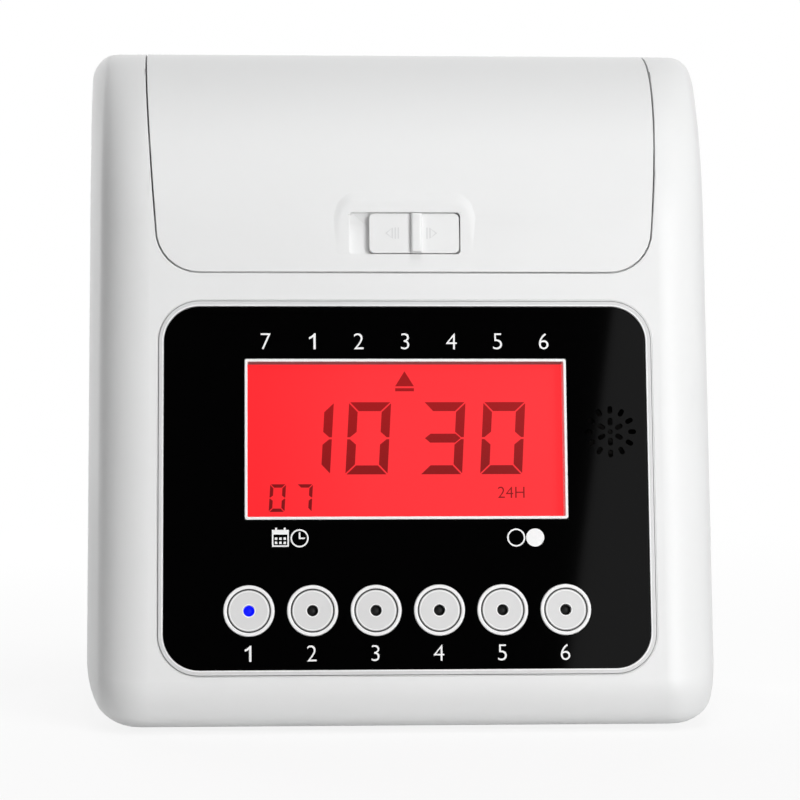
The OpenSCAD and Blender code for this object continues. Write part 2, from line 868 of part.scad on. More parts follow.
module lcd_surround() {
    color("white") on_panel(v = lcd_v, w = glass_w) difference() {
        union() {
            slab(lcd_w, lcd_h, lcd_r, surround_w - glass_w);
            slab(lcd_w + 2 * lcd_lip, lcd_h + 2 * lcd_lip, lcd_r, panel_back - glass_w - eps);
        }
        translate([0, 0, -eps]) slab(lcd_w - 2 * lcd_rim, lcd_h - 2 * lcd_rim, pane_r, far / 2);
    }
}

module lcd_glass() {
    color("red") on_panel(v = lcd_v, w = glass_w - glass_t)
        slab(lcd_w + 2 * lcd_lip, lcd_h + 2 * lcd_lip, lcd_r, glass_t);
}

module lcd_backlight() {
    color("mistyrose") on_panel(v = lcd_v, w = board_face)
        slab(lcd_w + 2 * lcd_lip, lcd_h + 2 * lcd_lip, lcd_r, light_t);
}

module display_board() {
    color("green") on_panel(w = board_face - board_t) slab(board_w, board_h, board_r, board_t);
}

module key_rings() {
    color("white") for (k = [0:keys - 1]) on_panel(u = key_u0 + k * key_pitch, v = -key_drop) difference() {
        union() {
            translate([0, 0, panel_back - ring_flange])
                cylinder(r = ring_r, h = panel_t + ring_flange + ring_proud);
            translate([0, 0, panel_back - ring_flange]) cylinder(r = ring_r + ring_lip, h = ring_flange);
        }
        translate([0, 0, panel_back - ring_flange - eps]) cylinder(r = ring_bore, h = far / 2);
    }
}

module key_cap(k) {
    color("silver") on_panel(u = key_u0 + (k - 1) * key_pitch, v = -key_drop) difference() {
        union() {
            translate([0, 0, cap_flange_w]) cylinder(r = cap_r, h = cap_face - cap_flange_w);
            translate([0, 0, cap_flange_w - cap_flange_t]) cylinder(r = cap_flange_r, h = cap_flange_t);
            translate([0, stem_v, stem_end]) cylinder(r = stem_r, h = cap_flange_w - stem_end);
        }
        translate([0, 0, stem_end - eps]) cylinder(r = cap_bore, h = far / 2);
    }
}

module lamp(k) {
    on_panel(u = key_u0 + k * key_pitch, v = -key_drop, w = board_face) {
        cylinder(r = lamp_r, h = lamp_top - lamp_r - board_face);
        translate([0, 0, lamp_top - lamp_r - board_face]) sphere(r = lamp_r);
    }
}

module lamp_lit() {
    color("dodgerblue") lamp(0);
}

module lamps_unlit() {
    color("darkslategray") for (k = [1:keys - 1]) lamp(k);
}

module key_switches() {
    color("dimgray") for (k = [0:keys - 1])
        on_panel(u = key_u0 + k * key_pitch, v = stem_v - key_drop, w = board_face) {
            translate([-switch_w / 2, -switch_w / 2, 0]) cube([switch_w, switch_w, switch_h]);
            cylinder(r = plunger_r, h = switch_h + plunger_h);
        }
}

module speaker_basket() {
    color("dimgray") on_panel(u = speaker_u, v = speaker_v, w = board_face) difference() {
        cylinder(r = speaker_r, h = speaker_h);
        translate([0, 0, speaker_h - cone_h]) cylinder(r1 = cone_low, r2 = cone_top, h = cone_h);
        translate([0, 0, speaker_h - eps]) cylinder(r = cone_top, h = cone_h);
    }
}

module speaker_cone() {
    color("tan") on_panel(u = speaker_u, v = speaker_v, w = board_face + speaker_h - cone_h) {
        difference() {
            cylinder(r1 = cone_low, r2 = cone_top, h = cone_h);
            translate([0, 0, cone_t]) cylinder(r1 = cone_low, r2 = cone_top, h = cone_h);
        }
        cylinder(r = dome_r, h = cone_t + dome_h);
    }
}

// Boards, inlet and battery

module main_board() {
    color("green") difference() {
        box(-main_half, main_half, main_y - board_t, main_y, main_low, main_top);
        for (sx = [-1, 1]) for (z = [main_post_low, main_post_top])
            rod_y(sx * main_post_x, main_y - board_t - eps, main_y + eps, z, screw_r);
    }
}

module board_chips() {
    chip_y = main_y - board_t;
    color("black") {
        box(chip_x, chip_x + chip_w, chip_y - chip_t, chip_y, chip_z, chip_z + chip_h);
        box(driver_x, driver_x + driver_w, chip_y - driver_t, chip_y, driver_z, driver_z + driver_h);
        box(socket_x, socket_x + socket_w, chip_y - socket_h, chip_y, socket_z, socket_z + socket_h);
        for (k = [0:cans - 1]) rod_y(can_x - can_step * k, chip_y - can_h, chip_y, can_z, can_r);
    }
}

module board_posts() {
    color("gold") for (sx = [-1, 1]) for (z = [main_post_low, main_post_top]) {
        rod_y(sx * main_post_x, main_y, cover_y, z, main_post_r);
        rod_y(sx * main_post_x, main_y - board_t, main_y, z, screw_r);
        rod_y(sx * main_post_x, main_y - board_t - head_h, main_y - board_t, z, head_r);
    }
}

module power_inlet() {
    color("black") {
        difference() {
            box(inlet_x - inlet_w / 2, inlet_x + inlet_w / 2, main_y, back_y - mouth_sink,
                inlet_z - inlet_h / 2, inlet_z + inlet_h / 2);
            rod_y(inlet_x, back_y - inlet_depth, back_y + eps, inlet_z, inlet_bore);
        }
        rod_y(inlet_x, main_y + eps, back_y - inlet_pin_back, inlet_z, inlet_pin);
    }
}

module battery_cells() {
    color("seagreen") for (k = [0:cells - 1])
        rod_x(cell_x, cell_x + cell_len, cell_y0 + k * cell_step, floor_z + tray_t + cell_r, cell_r);
}

module battery_tray() {
    low_y = cell_y0 - cell_r - pass_gap;
    high_y = cell_y0 + (cells - 1) * cell_step + cell_r + pass_gap;
    color("dimgray") difference() {
        box(cell_x - pass_gap - tray_wall, cell_x + cell_len + pass_gap + tray_wall, low_y - tray_wall,
            high_y + tray_wall, floor_z, floor_z + tray_t + cell_r);
        box(cell_x - pass_gap, cell_x + cell_len + pass_gap, low_y, high_y, floor_z + tray_t, floor_z + far);
    }
}

// Mechanism frame and card path

module side_plate(s) {
    x0 = min(s * plate_in, s * plate_out);
    flange0 = min(s * (plate_out - eps), s * (plate_out + plate_flange));
    flange1 = max(s * (plate_out - eps), s * (plate_out + plate_flange));
    tall = 2 * plate_flange;
    difference() {
        union() {
            along_x(x0, x0 + plate_t) polygon([
                [plate_front, plate_low], [cover_y, plate_low], [cover_y, plate_top],
                [plate_cut_y, plate_top], [plate_front, plate_cut_z]
            ]);
            for (z = [plate_low, plate_top - tall])
                box(flange0, flange1, cover_y - plate_t, cover_y, z, z + tall);
        }
        for (y = [rod_front, rod_rear]) rod_x(x0 - eps, x0 + plate_t + eps, y, rod_z, rod_r);
        for (y = [feed_y, pinch_y]) rod_x(x0 - eps, x0 + plate_t + eps, y, feed_z, bush_r);
        if (s > 0) rod_x(x0 - eps, x0 + plate_t + eps, pinion_y, pinion_z, motor_neck_r + pass_gap);
    }
}

module side_plate_left() {
    color("lightsteelblue") side_plate(-1);
}

module side_plate_right() {
    color("lightsteelblue") side_plate(1);
}

module printer_shelf() {
    color("lightsteelblue") {
        difference() {
            box(-plate_in, plate_in, shelf_front, shelf_back, shelf_z, shelf_z + shelf_t);
            translate([-belt_x, belt_y, shelf_z - eps])
                cylinder(r = axle_r + pass_gap, h = shelf_t + 2 * eps);
        }
        translate([belt_x, belt_y, shelf_z])
            cylinder(r = axle_r, h = belt_z + belt_h / 2 + axle_over - shelf_z);
    }
}

module card_mouth() {
    top = body_h - mouth_sink;
    low = body_h - mouth_depth;
    out = mouth_d / 2;
    half = mouth_w / 2;
    color("dimgray") {
        for (s = [-1, 1]) {
            along_x(-half, half) polygon([
                [card_y + s * out, top], [card_y + s * mouth_top / 2, top],
                [card_y + s * throat / 2, top - mouth_taper],
                [card_y + s * throat / 2, low], [card_y + s * out, low]
            ]);
            box(min(s * half, s * slot_w / 2), max(s * half, s * slot_w / 2),
                card_y - out, card_y + out, low, top);
        }
        difference() {
            box(-half - flange_back, half + flange_back, card_y - out - flange_front,
                card_y + out + flange_back, body_h - wall - mouth_flange, body_h - wall);
            box(-half + flange_lap, half - flange_lap, card_y - out + flange_lap,
                card_y + out - flange_lap, 0, far);
        }
    }
}

module card_guide_upper() {
    color("silver") box(-plate_in, plate_in, chute_front - guide_t, chute_front, window_top, guide_top);
}

module roller_window(y0, y1, half) {
    reach = roller_w / 2 + roller_play;
    for (s = [-1, 1]) box(s * roller_x - reach, s * roller_x + reach, y0, y1, feed_z - half, feed_z + half);
}

module card_guide_lower() {
    color("silver") difference() {
        box(-plate_in, plate_in, chute_front - guide_t, chute_front, guide_low, window_low);
        roller_window(chute_front - guide_t - eps, chute_front + eps, roller_r - roller_clear);
    }
}

module card_guide_rear() {
    color("silver") difference() {
        box(-plate_in, plate_in, chute_rear, chute_rear + guide_t, guide_low, guide_top);
        roller_window(chute_rear - eps, chute_rear + guide_t + eps, pinch_r);
    }
}

module platen_strip() {
    color("black") box(-platen_w / 2, platen_w / 2, chute_rear - platen_t, chute_rear,
        print_z - platen_h / 2, print_z + platen_h / 2);
}

// Card feed

module feed_shaft() {
    color("silver") rod_x(-plate_out - shaft_end, gear_x + gear_w + rod_end, feed_y, feed_z, shaft_r);
}

module ring_x(x0, x1, y, z, r, bore) {
    difference() {
        rod_x(x0, x1, y, z, r);
        rod_x(x0 - eps, x1 + eps, y, z, bore);
    }
}

module feed_rollers() {
    color("black") for (s = [-1, 1])
        ring_x(s * roller_x - roller_w / 2, s * roller_x + roller_w / 2, feed_y, feed_z, roller_r, shaft_r);
}

module feed_gear() {
    color("ivory") difference() {
        along_x(gear_x, gear_x + gear_w)
            translate([feed_y, feed_z]) rotate(gear_angle) polygon(gear_outline(gear_n));
        rod_x(gear_x - eps, gear_x + gear_w + eps, feed_y, feed_z, shaft_r);
    }
}

module feed_pinion() {
    turn = gear_angle + 180 + 180 / pinion_n;
    color("gold") {
        along_x(gear_x, gear_x + gear_w)
            translate([pinion_y, pinion_z]) rotate(turn) polygon(gear_outline(pinion_n));
        rod_x(plate_in - motor_len / 2, gear_x, pinion_y, pinion_z, motor_shaft_r);
    }
}

module feed_motor() {
    color("gray") difference() {
        union() {
            rod_x(plate_in - motor_len, plate_in, pinion_y, pinion_z, motor_r);
            rod_x(plate_in, plate_out, pinion_y, pinion_z, motor_neck_r);
        }
        rod_x(plate_in - motor_len / 2 - rod_end, plate_out + eps, pinion_y, pinion_z,
            motor_shaft_r + run_gap);
    }
}

module bush(s, y, bore) {
    rim = s * (plate_out + bush_flange_t);
    ring_x(min(rim, s * plate_out), max(rim, s * plate_out), y, feed_z, bush_flange_r, bore);
    ring_x(min(s * plate_in, s * plate_out), max(s * plate_in, s * plate_out), y, feed_z, bush_r, bore);
}

module shaft_bushes() {
    color("ivory") for (s = [-1, 1]) {
        bush(s, feed_y, shaft_r + run_gap);
        bush(s, pinch_y, pinch_shaft_r + run_gap);
    }
}

module pinch_shaft() {
    color("silver") rod_x(-plate_out - shaft_end, plate_out + shaft_end, pinch_y, feed_z, pinch_shaft_r);
}

module pinch_rollers() {
    color("black") for (s = [-1, 1])
        ring_x(s * roller_x - roller_w / 2, s * roller_x + roller_w / 2, pinch_y, feed_z,
            pinch_r, pinch_shaft_r);
}

// Printer

module guide_rods() {
    color("silver") for (y = [rod_front, rod_rear])
        rod_x(-plate_out - rod_end, plate_out + rod_end, y, rod_z, rod_r);
}

module carriage() {
    slot_half = belt_h / 2 + pass_gap;
    run_y = belt_y + belt_in;
    color("dimgray") difference() {
        union() {
            box(-car_half, car_half, car_front, car_back, car_low, car_top);
            box(-clamp_half, clamp_half, run_y - clamp_front, car_front + eps,
                shelf_z + shelf_t + clamp_lift, car_top);
        }
        for (y = [rod_front, rod_rear]) rod_x(-car_half - eps, car_half + eps, y, rod_z, rod_r + run_gap);
        box(-clamp_half - eps, clamp_half + eps, run_y - pass_gap, run_y + belt_t + pass_gap,
            belt_z - slot_half, belt_z + slot_half);
    }
}

module print_head() {
    color("darkgray") {
        difference() {
            box(-head_half, head_half, head_front, head_back, car_top, head_top);
            for (k = [0:fins - 1]) let (y = head_front + fin_first + 2 * k * fin_gap)
                box(-head_half - eps, head_half + eps, y, y + fin_gap, head_top - fin_depth, head_top + eps);
        }
        box(-nose_half, nose_half, head_back - eps, nose_tip, print_z - nose_h / 2, print_z + nose_h / 2);
    }
}

module belt_loop(r) {
    square([2 * belt_x, 2 * r], center = true);
    for (s = [-1, 1]) translate([s * belt_x, 0]) circle(r);
}

module drive_belt() {
    color("black") translate([0, belt_y, belt_z - belt_h / 2]) linear_extrude(belt_h) difference() {
        belt_loop(belt_out);
        belt_loop(belt_in);
    }
}

module pulley() {
    rim = pulley_flange_t - belt_play;
    cylinder(r = pulley_r, h = belt_h + 2 * pulley_flange_t);
    cylinder(r = pulley_flange_r, h = rim);
    translate([0, 0, belt_h + pulley_flange_t + belt_play]) cylinder(r = pulley_flange_r, h = rim);
}

module drive_pulley() {
    color("gainsboro") translate([-belt_x, belt_y, 0]) {
        translate([0, 0, belt_z - belt_h / 2 - pulley_flange_t]) pulley();
        translate([0, 0, shelf_z - step_h / 2]) cylinder(r = axle_r, h = belt_z - shelf_z + step_h / 2);
    }
}

module idler_pulley() {
    color("gainsboro") translate([belt_x, belt_y, belt_z - belt_h / 2 - pulley_flange_t]) difference() {
        pulley();
        translate([0, 0, -eps]) cylinder(r = axle_r + run_gap, h = far / 2);
    }
}

module carriage_motor() {
    color("gray") translate([-belt_x, belt_y, shelf_z - step_h]) difference() {
        cylinder(r = step_r, h = step_h);
        translate([0, 0, step_h / 2 - rod_end]) cylinder(r = axle_r + run_gap, h = step_h);
    }
}

module ribbon_cassette() {
    tab_y = plate_front + tab_in;
    color("black") {
        difference() {
            box(-cas_half, cas_half, cas_front, cas_back, cas_low, cas_top);
            translate([knob_x, knob_y, cas_top - knob_h - knob_play]) cylinder(r = axle_r + run_gap, h = far);
        }
        for (s = [-1, 1]) {
            box(min(s * arm_in, s * cas_half), max(s * arm_in, s * cas_half), cas_back - eps,
                chute_front - arm_short, arm_low, arm_top);
            box(min(s * cas_half, s * plate_in), max(s * cas_half, s * plate_in), tab_y, tab_y + tab_d,
                print_z - tab_h / 2, print_z + tab_h / 2);
        }
    }
}

module ribbon_knob() {
    color("royalblue") translate([knob_x, knob_y, cas_top]) {
        translate([0, 0, pass_gap]) cylinder(r = knob_r, h = knob_h);
        translate([0, 0, -knob_h]) cylinder(r = axle_r, h = knob_h + 2 * pass_gap);
        translate([-grip_t / 2, grip_in - knob_r, knob_h]) cube([grip_t, 2 * (knob_r - grip_in), grip_h]);
    }
}

module ribbon_band() {
    color("darkslategray") box(-arm_in, arm_in, ribbon_y, ribbon_y + ribbon_t,
        print_z - ribbon_h / 2, print_z + ribbon_h / 2);
}

front_housing();
back_cover();
ribbon_door();
latch_slider();
latch_bolt();
hinge_pins();
panel_bezel();
display_panel();
lcd_surround();
lcd_glass();
lcd_backlight();
display_board();
key_rings();
key_cap(1);  // key_cap_1
key_cap(2);  // key_cap_2
key_cap(3);  // key_cap_3
key_cap(4);  // key_cap_4
key_cap(5);  // key_cap_5
key_cap(6);  // key_cap_6
lamp_lit();
lamps_unlit();
key_switches();
speaker_basket();
speaker_cone();
main_board();
board_chips();
board_posts();
power_inlet();
battery_cells();
battery_tray();
side_plate_left();
side_plate_right();
printer_shelf();
card_mouth();
card_guide_upper();
card_guide_lower();
card_guide_rear();
platen_strip();
feed_shaft();
feed_rollers();
feed_gear();
feed_motor();
feed_pinion();
shaft_bushes();
pinch_shaft();
pinch_rollers();
guide_rods();
carriage();
print_head();
drive_belt();
drive_pulley();
idler_pulley();
carriage_motor();
ribbon_cassette();
ribbon_knob();
ribbon_band();
rubber_feet();
case_screws();
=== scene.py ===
import bmesh
import bpy
import json
import math
from mathutils import Matrix, Vector


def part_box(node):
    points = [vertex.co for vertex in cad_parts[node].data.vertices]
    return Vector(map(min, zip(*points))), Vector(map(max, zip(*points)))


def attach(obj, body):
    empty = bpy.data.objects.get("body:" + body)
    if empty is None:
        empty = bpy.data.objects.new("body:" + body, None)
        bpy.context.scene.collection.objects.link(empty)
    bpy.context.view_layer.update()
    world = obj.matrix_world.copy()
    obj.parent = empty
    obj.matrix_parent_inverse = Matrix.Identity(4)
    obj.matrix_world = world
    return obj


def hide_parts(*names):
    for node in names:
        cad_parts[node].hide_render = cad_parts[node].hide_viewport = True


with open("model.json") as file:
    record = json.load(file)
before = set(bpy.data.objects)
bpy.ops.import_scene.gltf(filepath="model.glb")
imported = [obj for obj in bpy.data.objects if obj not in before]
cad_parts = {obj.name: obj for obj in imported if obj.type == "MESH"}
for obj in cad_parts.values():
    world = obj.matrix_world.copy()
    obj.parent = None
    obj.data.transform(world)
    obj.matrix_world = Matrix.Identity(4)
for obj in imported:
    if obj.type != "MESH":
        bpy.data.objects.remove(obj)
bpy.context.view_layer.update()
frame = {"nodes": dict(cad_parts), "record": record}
nodes = frame["nodes"]
mm = 0.001
print("frame loaded:", len(nodes), "nodes")

# The leaning front plane: u to the right, v up the slope, w outwards
front = dict(noseY=-60.0, noseZ=15.2, noseRadius=14.0, panelZ=79.5588)
lean = math.radians(9)
frontY = front["noseY"] - front["noseRadius"] / math.cos(lean)


def faceY(z):
    return frontY + (z - front["noseZ"]) * math.tan(lean)


panelPlace = Matrix(((1, 0, 0, 0),
                     (0, math.sin(lean), -math.cos(lean), faceY(front["panelZ"]) * mm),
                     (0, math.cos(lean), math.sin(lean), front["panelZ"] * mm),
                     (0, 0, 0, 1)))

# The round-over above the front plane
brow = dict(start=166.0, rise=62.0, run=63.0)


def browTurn(z):
    return math.asin(min(1.0, max(0.0, (z - brow["start"]) / brow["rise"])))


def skinY(z):
    return faceY(z) + brow["run"] * (1 - math.cos(browTurn(z)))


def skinNormal(z):
    slope = math.tan(lean) + brow["run"] * math.tan(browTurn(z)) / brow["rise"]
    return Vector((0.0, -1.0, slope)).normalized()


# Shader wiring
class Wire:
    def __init__(self, tree, socket=None):
        self.tree = tree
        self.socket = socket

    def feed(self, target, value):
        if isinstance(value, Wire):
            self.tree.links.new(value.socket, target)
        else:
            target.default_value = value

    def node(self, kind, settings=None, inputs=None, output=0):
        made = self.tree.nodes.new("ShaderNode" + kind)
        for key, value in (settings or {}).items():
            setattr(made, key, value)
        for key, value in (inputs or {}).items():
            self.feed(made.inputs[key], value)
        return Wire(self.tree, made.outputs[output] if made.outputs else None)

    def maths(self, operation, *values):
        return self.node("Math", {"operation": operation}, dict(enumerate(values)))

    def blend(self, factor, low, high):
        return self.node("Mix", {"data_type": "RGBA"}, {0: factor, 6: low, 7: high}, 2)

    def __add__(self, other):
        return self.maths("ADD", self, other)

    __radd__ = __add__

    def __sub__(self, other):
        return self.maths("SUBTRACT", self, other)

    def __rsub__(self, other):
        return self.maths("SUBTRACT", other, self)

    def __mul__(self, other):
        return self.maths("MULTIPLY", self, other)

    __rmul__ = __mul__

    def __gt__(self, other):
        return self.maths("GREATER_THAN", self, other)

    def __lt__(self, other):
        return self.maths("LESS_THAN", self, other)


def newFinish(name):
    finish = bpy.data.materials.new(name)
    finish.use_nodes = True
    tree = finish.node_tree
    tree.nodes.clear()
    wire = Wire(tree)
    place = wire.node("TexCoord", output="Object")
    return finish, wire, place


def closeFinish(finish, wire, settings):
    shader = wire.node("BsdfPrincipled", {}, settings)
    wire.node("OutputMaterial", {}, {"Surface": shader})
    return finish


def noise(wire, place, scale, detail=2.0):
    return wire.node("TexNoise", {}, {"Vector": place, "Scale": scale, "Detail": detail})


def bump(wire, height, strength, distance):
    return wire.node("Bump", {}, {"Strength": strength, "Distance": distance, "Height": height})


def grey(level, warm=1.0, cool=1.0):
    return (level * warm, level, level * cool, 1.0)


# Moulded plastic: fine spark-eroded grain, slight cloudiness of tone and gloss
def plasticFinish(name, tone, rough=0.4, grain=0.12, grainScale=2600.0, coat=0.0, shine=0.5):
    finish, wire, place = newFinish(name)
    cloud = noise(wire, place, 22.0)
    fine = noise(wire, place, grainScale, 3.0)
    deep = tuple(c * 0.965 for c in tone[:3]) + (1.0,)
    return closeFinish(finish, wire, {
        "Base Color": wire.blend(cloud, deep, tone),
        "Roughness": rough + 0.1 * (cloud - 0.5) + 0.06 * (fine - 0.5),
        "Specular IOR Level": shine, "Coat Weight": coat, "Coat Roughness": 0.12,
        "Normal": bump(wire, fine, grain, 0.00006)})


# Gloss black sheet: faint dust and polish marks
def sheetFinish(name):
    finish, wire, place = newFinish(name)
    speck = noise(wire, place, 900.0, 4.0)
    haze = noise(wire, place, 9.0)
    dust = (speck > 0.72) * 0.012
    return closeFinish(finish, wire, {
        "Base Color": wire.blend(dust * 40.0, (0.0004, 0.0004, 0.0005, 1.0), (0.004, 0.004, 0.0045, 1.0)),
        "Roughness": 0.03 + 0.02 * haze + dust,
        "Specular IOR Level": 0.15,
        "Normal": bump(wire, haze, 0.02, 0.0004)})


# Metals: streaks along one axis, with finer scratches over them
def metalFinish(name, tone, rough, stretch=(1.0, 1.0, 1.0), streak=900.0):
    finish, wire, place = newFinish(name)
    drawn = wire.node("Mapping", {}, {"Vector": place, "Scale": stretch})
    lines = noise(wire, drawn, streak, 4.0)
    patina = noise(wire, place, 40.0, 3.0)
    dull = tuple(c * 0.78 for c in tone[:3]) + (1.0,)
    return closeFinish(finish, wire, {
        "Base Color": wire.blend(patina * 0.6 + lines * 0.4, dull, tone),
        "Metallic": 1.0,
        "Roughness": rough + 0.18 * (lines - 0.5) + 0.1 * (patina - 0.5),
        "Normal": bump(wire, lines, 0.08, 0.00004)})


# Lacquered metal cans
def lacquerFinish(name, tone):
    finish, wire, place = newFinish(name)
    orange = noise(wire, place, 1100.0)
    scuffs = noise(wire, place, 60.0, 4.0)
    worn = tuple(c * 1.5 for c in tone[:3]) + (1.0,)
    return closeFinish(finish, wire, {
        "Base Color": wire.blend((scuffs > 0.66) * 0.5, tone, worn),
        "Roughness": 0.38 + 0.2 * (scuffs - 0.5),
        "Coat Weight": 0.3,
        "Normal": bump(wire, orange, 0.15, 0.00008)})


# Rubber: dull, with a ground surface and pale dust
def rubberFinish(name):
    finish, wire, place = newFinish(name)
    ground = noise(wire, place, 3000.0, 3.0)
    dust = noise(wire, place, 70.0, 4.0)
    return closeFinish(finish, wire, {
        "Base Color": wire.blend(dust, (0.018, 0.018, 0.019, 1.0), (0.045, 0.045, 0.044, 1.0)),
        "Roughness": 0.72 + 0.16 * (dust - 0.5),
        "Normal": bump(wire, ground, 0.35, 0.00008)})


# Circuit board: lacquer over straight tracks and a grid of pads
def boardFinish(name):
    finish, wire, place = newFinish(name)
    cells = wire.node("TexBrick", {"offset": 0.35, "squash": 0.7}, {
        "Vector": wire.node("Mapping", {}, {"Vector": place, "Rotation": (math.radians(90), 0, 0)}),
        "Color1": (0.0, 0.0, 0.0, 1.0), "Color2": (0.3, 0.3, 0.3, 1.0), "Mortar": (1.0, 1.0, 1.0, 1.0),
        "Scale": 110.0, "Mortar Size": 0.03, "Brick Width": 1.3, "Row Height": 0.28})
    pads = wire.node("TexVoronoi", {}, {"Vector": place, "Scale": 260.0, "Randomness": 0.25}) < 0.16
    track = wire.node("SeparateColor", {}, {"Color": cells}, 0)
    weave = noise(wire, place, 1500.0)
    green = wire.blend(track, (0.008, 0.075, 0.03, 1.0), (0.03, 0.17, 0.07, 1.0))
    return closeFinish(finish, wire, {
        "Base Color": wire.blend(pads, green, (0.62, 0.6, 0.55, 1.0)),
        "Metallic": pads * 0.8,
        "Roughness": 0.34 + 0.1 * weave,
        "Normal": bump(wire, track + pads, 0.25, 0.00006)})


# Pressed paper of the loudspeaker cone
def paperFinish(name):
    finish, wire, place = newFinish(name)
    fibre = noise(wire, place, 1900.0, 5.0)
    return closeFinish(finish, wire, {
        "Base Color": wire.blend(fibre, (0.012, 0.011, 0.01, 1.0), (0.04, 0.037, 0.033, 1.0)),
        "Roughness": 0.82 + 0.12 * (fibre - 0.5),
        "Normal": bump(wire, fibre, 0.5, 0.0001)})


# Inked ribbon: a plain weave, darker in bands where the ink is fresh
def clothFinish(name):
    finish, wire, place = newFinish(name)
    warp = wire.node("TexWave", {"bands_direction": "X"}, {"Vector": place, "Scale": 900.0})
    weft = wire.node("TexWave", {"bands_direction": "Z"}, {"Vector": place, "Scale": 900.0})
    weave = wire.maths("MAXIMUM", warp, weft)
    ink = noise(wire, place, 45.0, 3.0)
    return closeFinish(finish, wire, {
        "Base Color": wire.blend(ink * weave, (0.008, 0.007, 0.016, 1.0), (0.05, 0.04, 0.1, 1.0)),
        "Roughness": 0.66 + 0.2 * (ink - 0.5),
        "Normal": bump(wire, weave, 0.4, 0.00008)})


# Shrink sleeve with one pale band on each cell
sleeveBand = dict(start=-0.04, end=-0.034)


def sleeveFinish(name):
    finish, wire, place = newFinish(name)
    along = wire.node("SeparateXYZ", {}, {"Vector": place}, "X")
    band = (along > sleeveBand["start"]) * (along < sleeveBand["end"])
    crease = noise(wire, place, 160.0, 3.0)
    return closeFinish(finish, wire, {
        "Base Color": wire.blend(band, (0.02, 0.2, 0.09, 1.0), (0.75, 0.76, 0.72, 1.0)),
        "Roughness": 0.24 + 0.14 * (crease - 0.4),
        "Normal": bump(wire, crease, 0.2, 0.0002)})


# Lit display: an even red with slow clouds, dimmer towards the left edge; the segments darken downwards
displayFade = dict(leftEdge=-0.054, leftEnd=-0.012, lowEdge=0.07, lowEnd=0.108)


def displayFinish(name, bright, dim, base, left, low):
    finish, wire, place = newFinish(name)
    slow = noise(wire, place, 11.0)
    across = wire.node("SeparateXYZ", {}, {"Vector": place}, "X")
    up = wire.node("SeparateXYZ", {}, {"Vector": place}, "Z")
    level = wire.node("MapRange", {}, {
        0: across, 1: displayFade["leftEdge"], 2: displayFade["leftEnd"], 3: -left, 4: 0.0})
    rise = wire.node("MapRange", {}, {
        0: up, 1: displayFade["lowEdge"], 2: displayFade["lowEnd"], 3: -low, 4: 0.0})
    cell = noise(wire, place, 1400.0)
    mixed = 0.85 + level + rise + 0.4 * (slow - 0.5) + 0.05 * (cell - 0.5)
    return closeFinish(finish, wire, {
        "Base Color": base, "Roughness": 0.3 + 0.08 * cell, "Specular IOR Level": 0.12,
        "Emission Color": wire.blend(mixed, dim, bright), "Emission Strength": 1.0})


# Lamp lens: frosted, lit or dark
def lampFinish(name, tone, glow, strength):
    finish, wire, place = newFinish(name)
    frost = noise(wire, place, 2400.0, 3.0)
    paler = tuple(min(1.0, c * 1.6 + 0.01) for c in tone[:3]) + (1.0,)
    dimmer = tuple(c * 0.92 for c in glow[:3]) + (1.0,)
    return closeFinish(finish, wire, {
        "Base Color": wire.blend(frost, tone, paler),
        "Roughness": 0.4 + 0.2 * frost, "Specular IOR Level": 0.2,
        "Emission Color": wire.blend(frost, dimmer, glow), "Emission Strength": strength,
        "Normal": bump(wire, frost, 0.2, 0.00006)})


# Screen print: thin ink with a slightly broken surface
def inkFinish(name, tone):
    finish, wire, place = newFinish(name)
    film = noise(wire, place, 2200.0, 3.0)
    thin = tuple(c * 0.9 for c in tone[:3]) + (1.0,)
    return closeFinish(finish, wire, {
        "Base Color": wire.blend(film, thin, tone),
        "Roughness": 0.5 + 0.2 * (film - 0.5),
        "Normal": bump(wire, film, 0.1, 0.00003)})


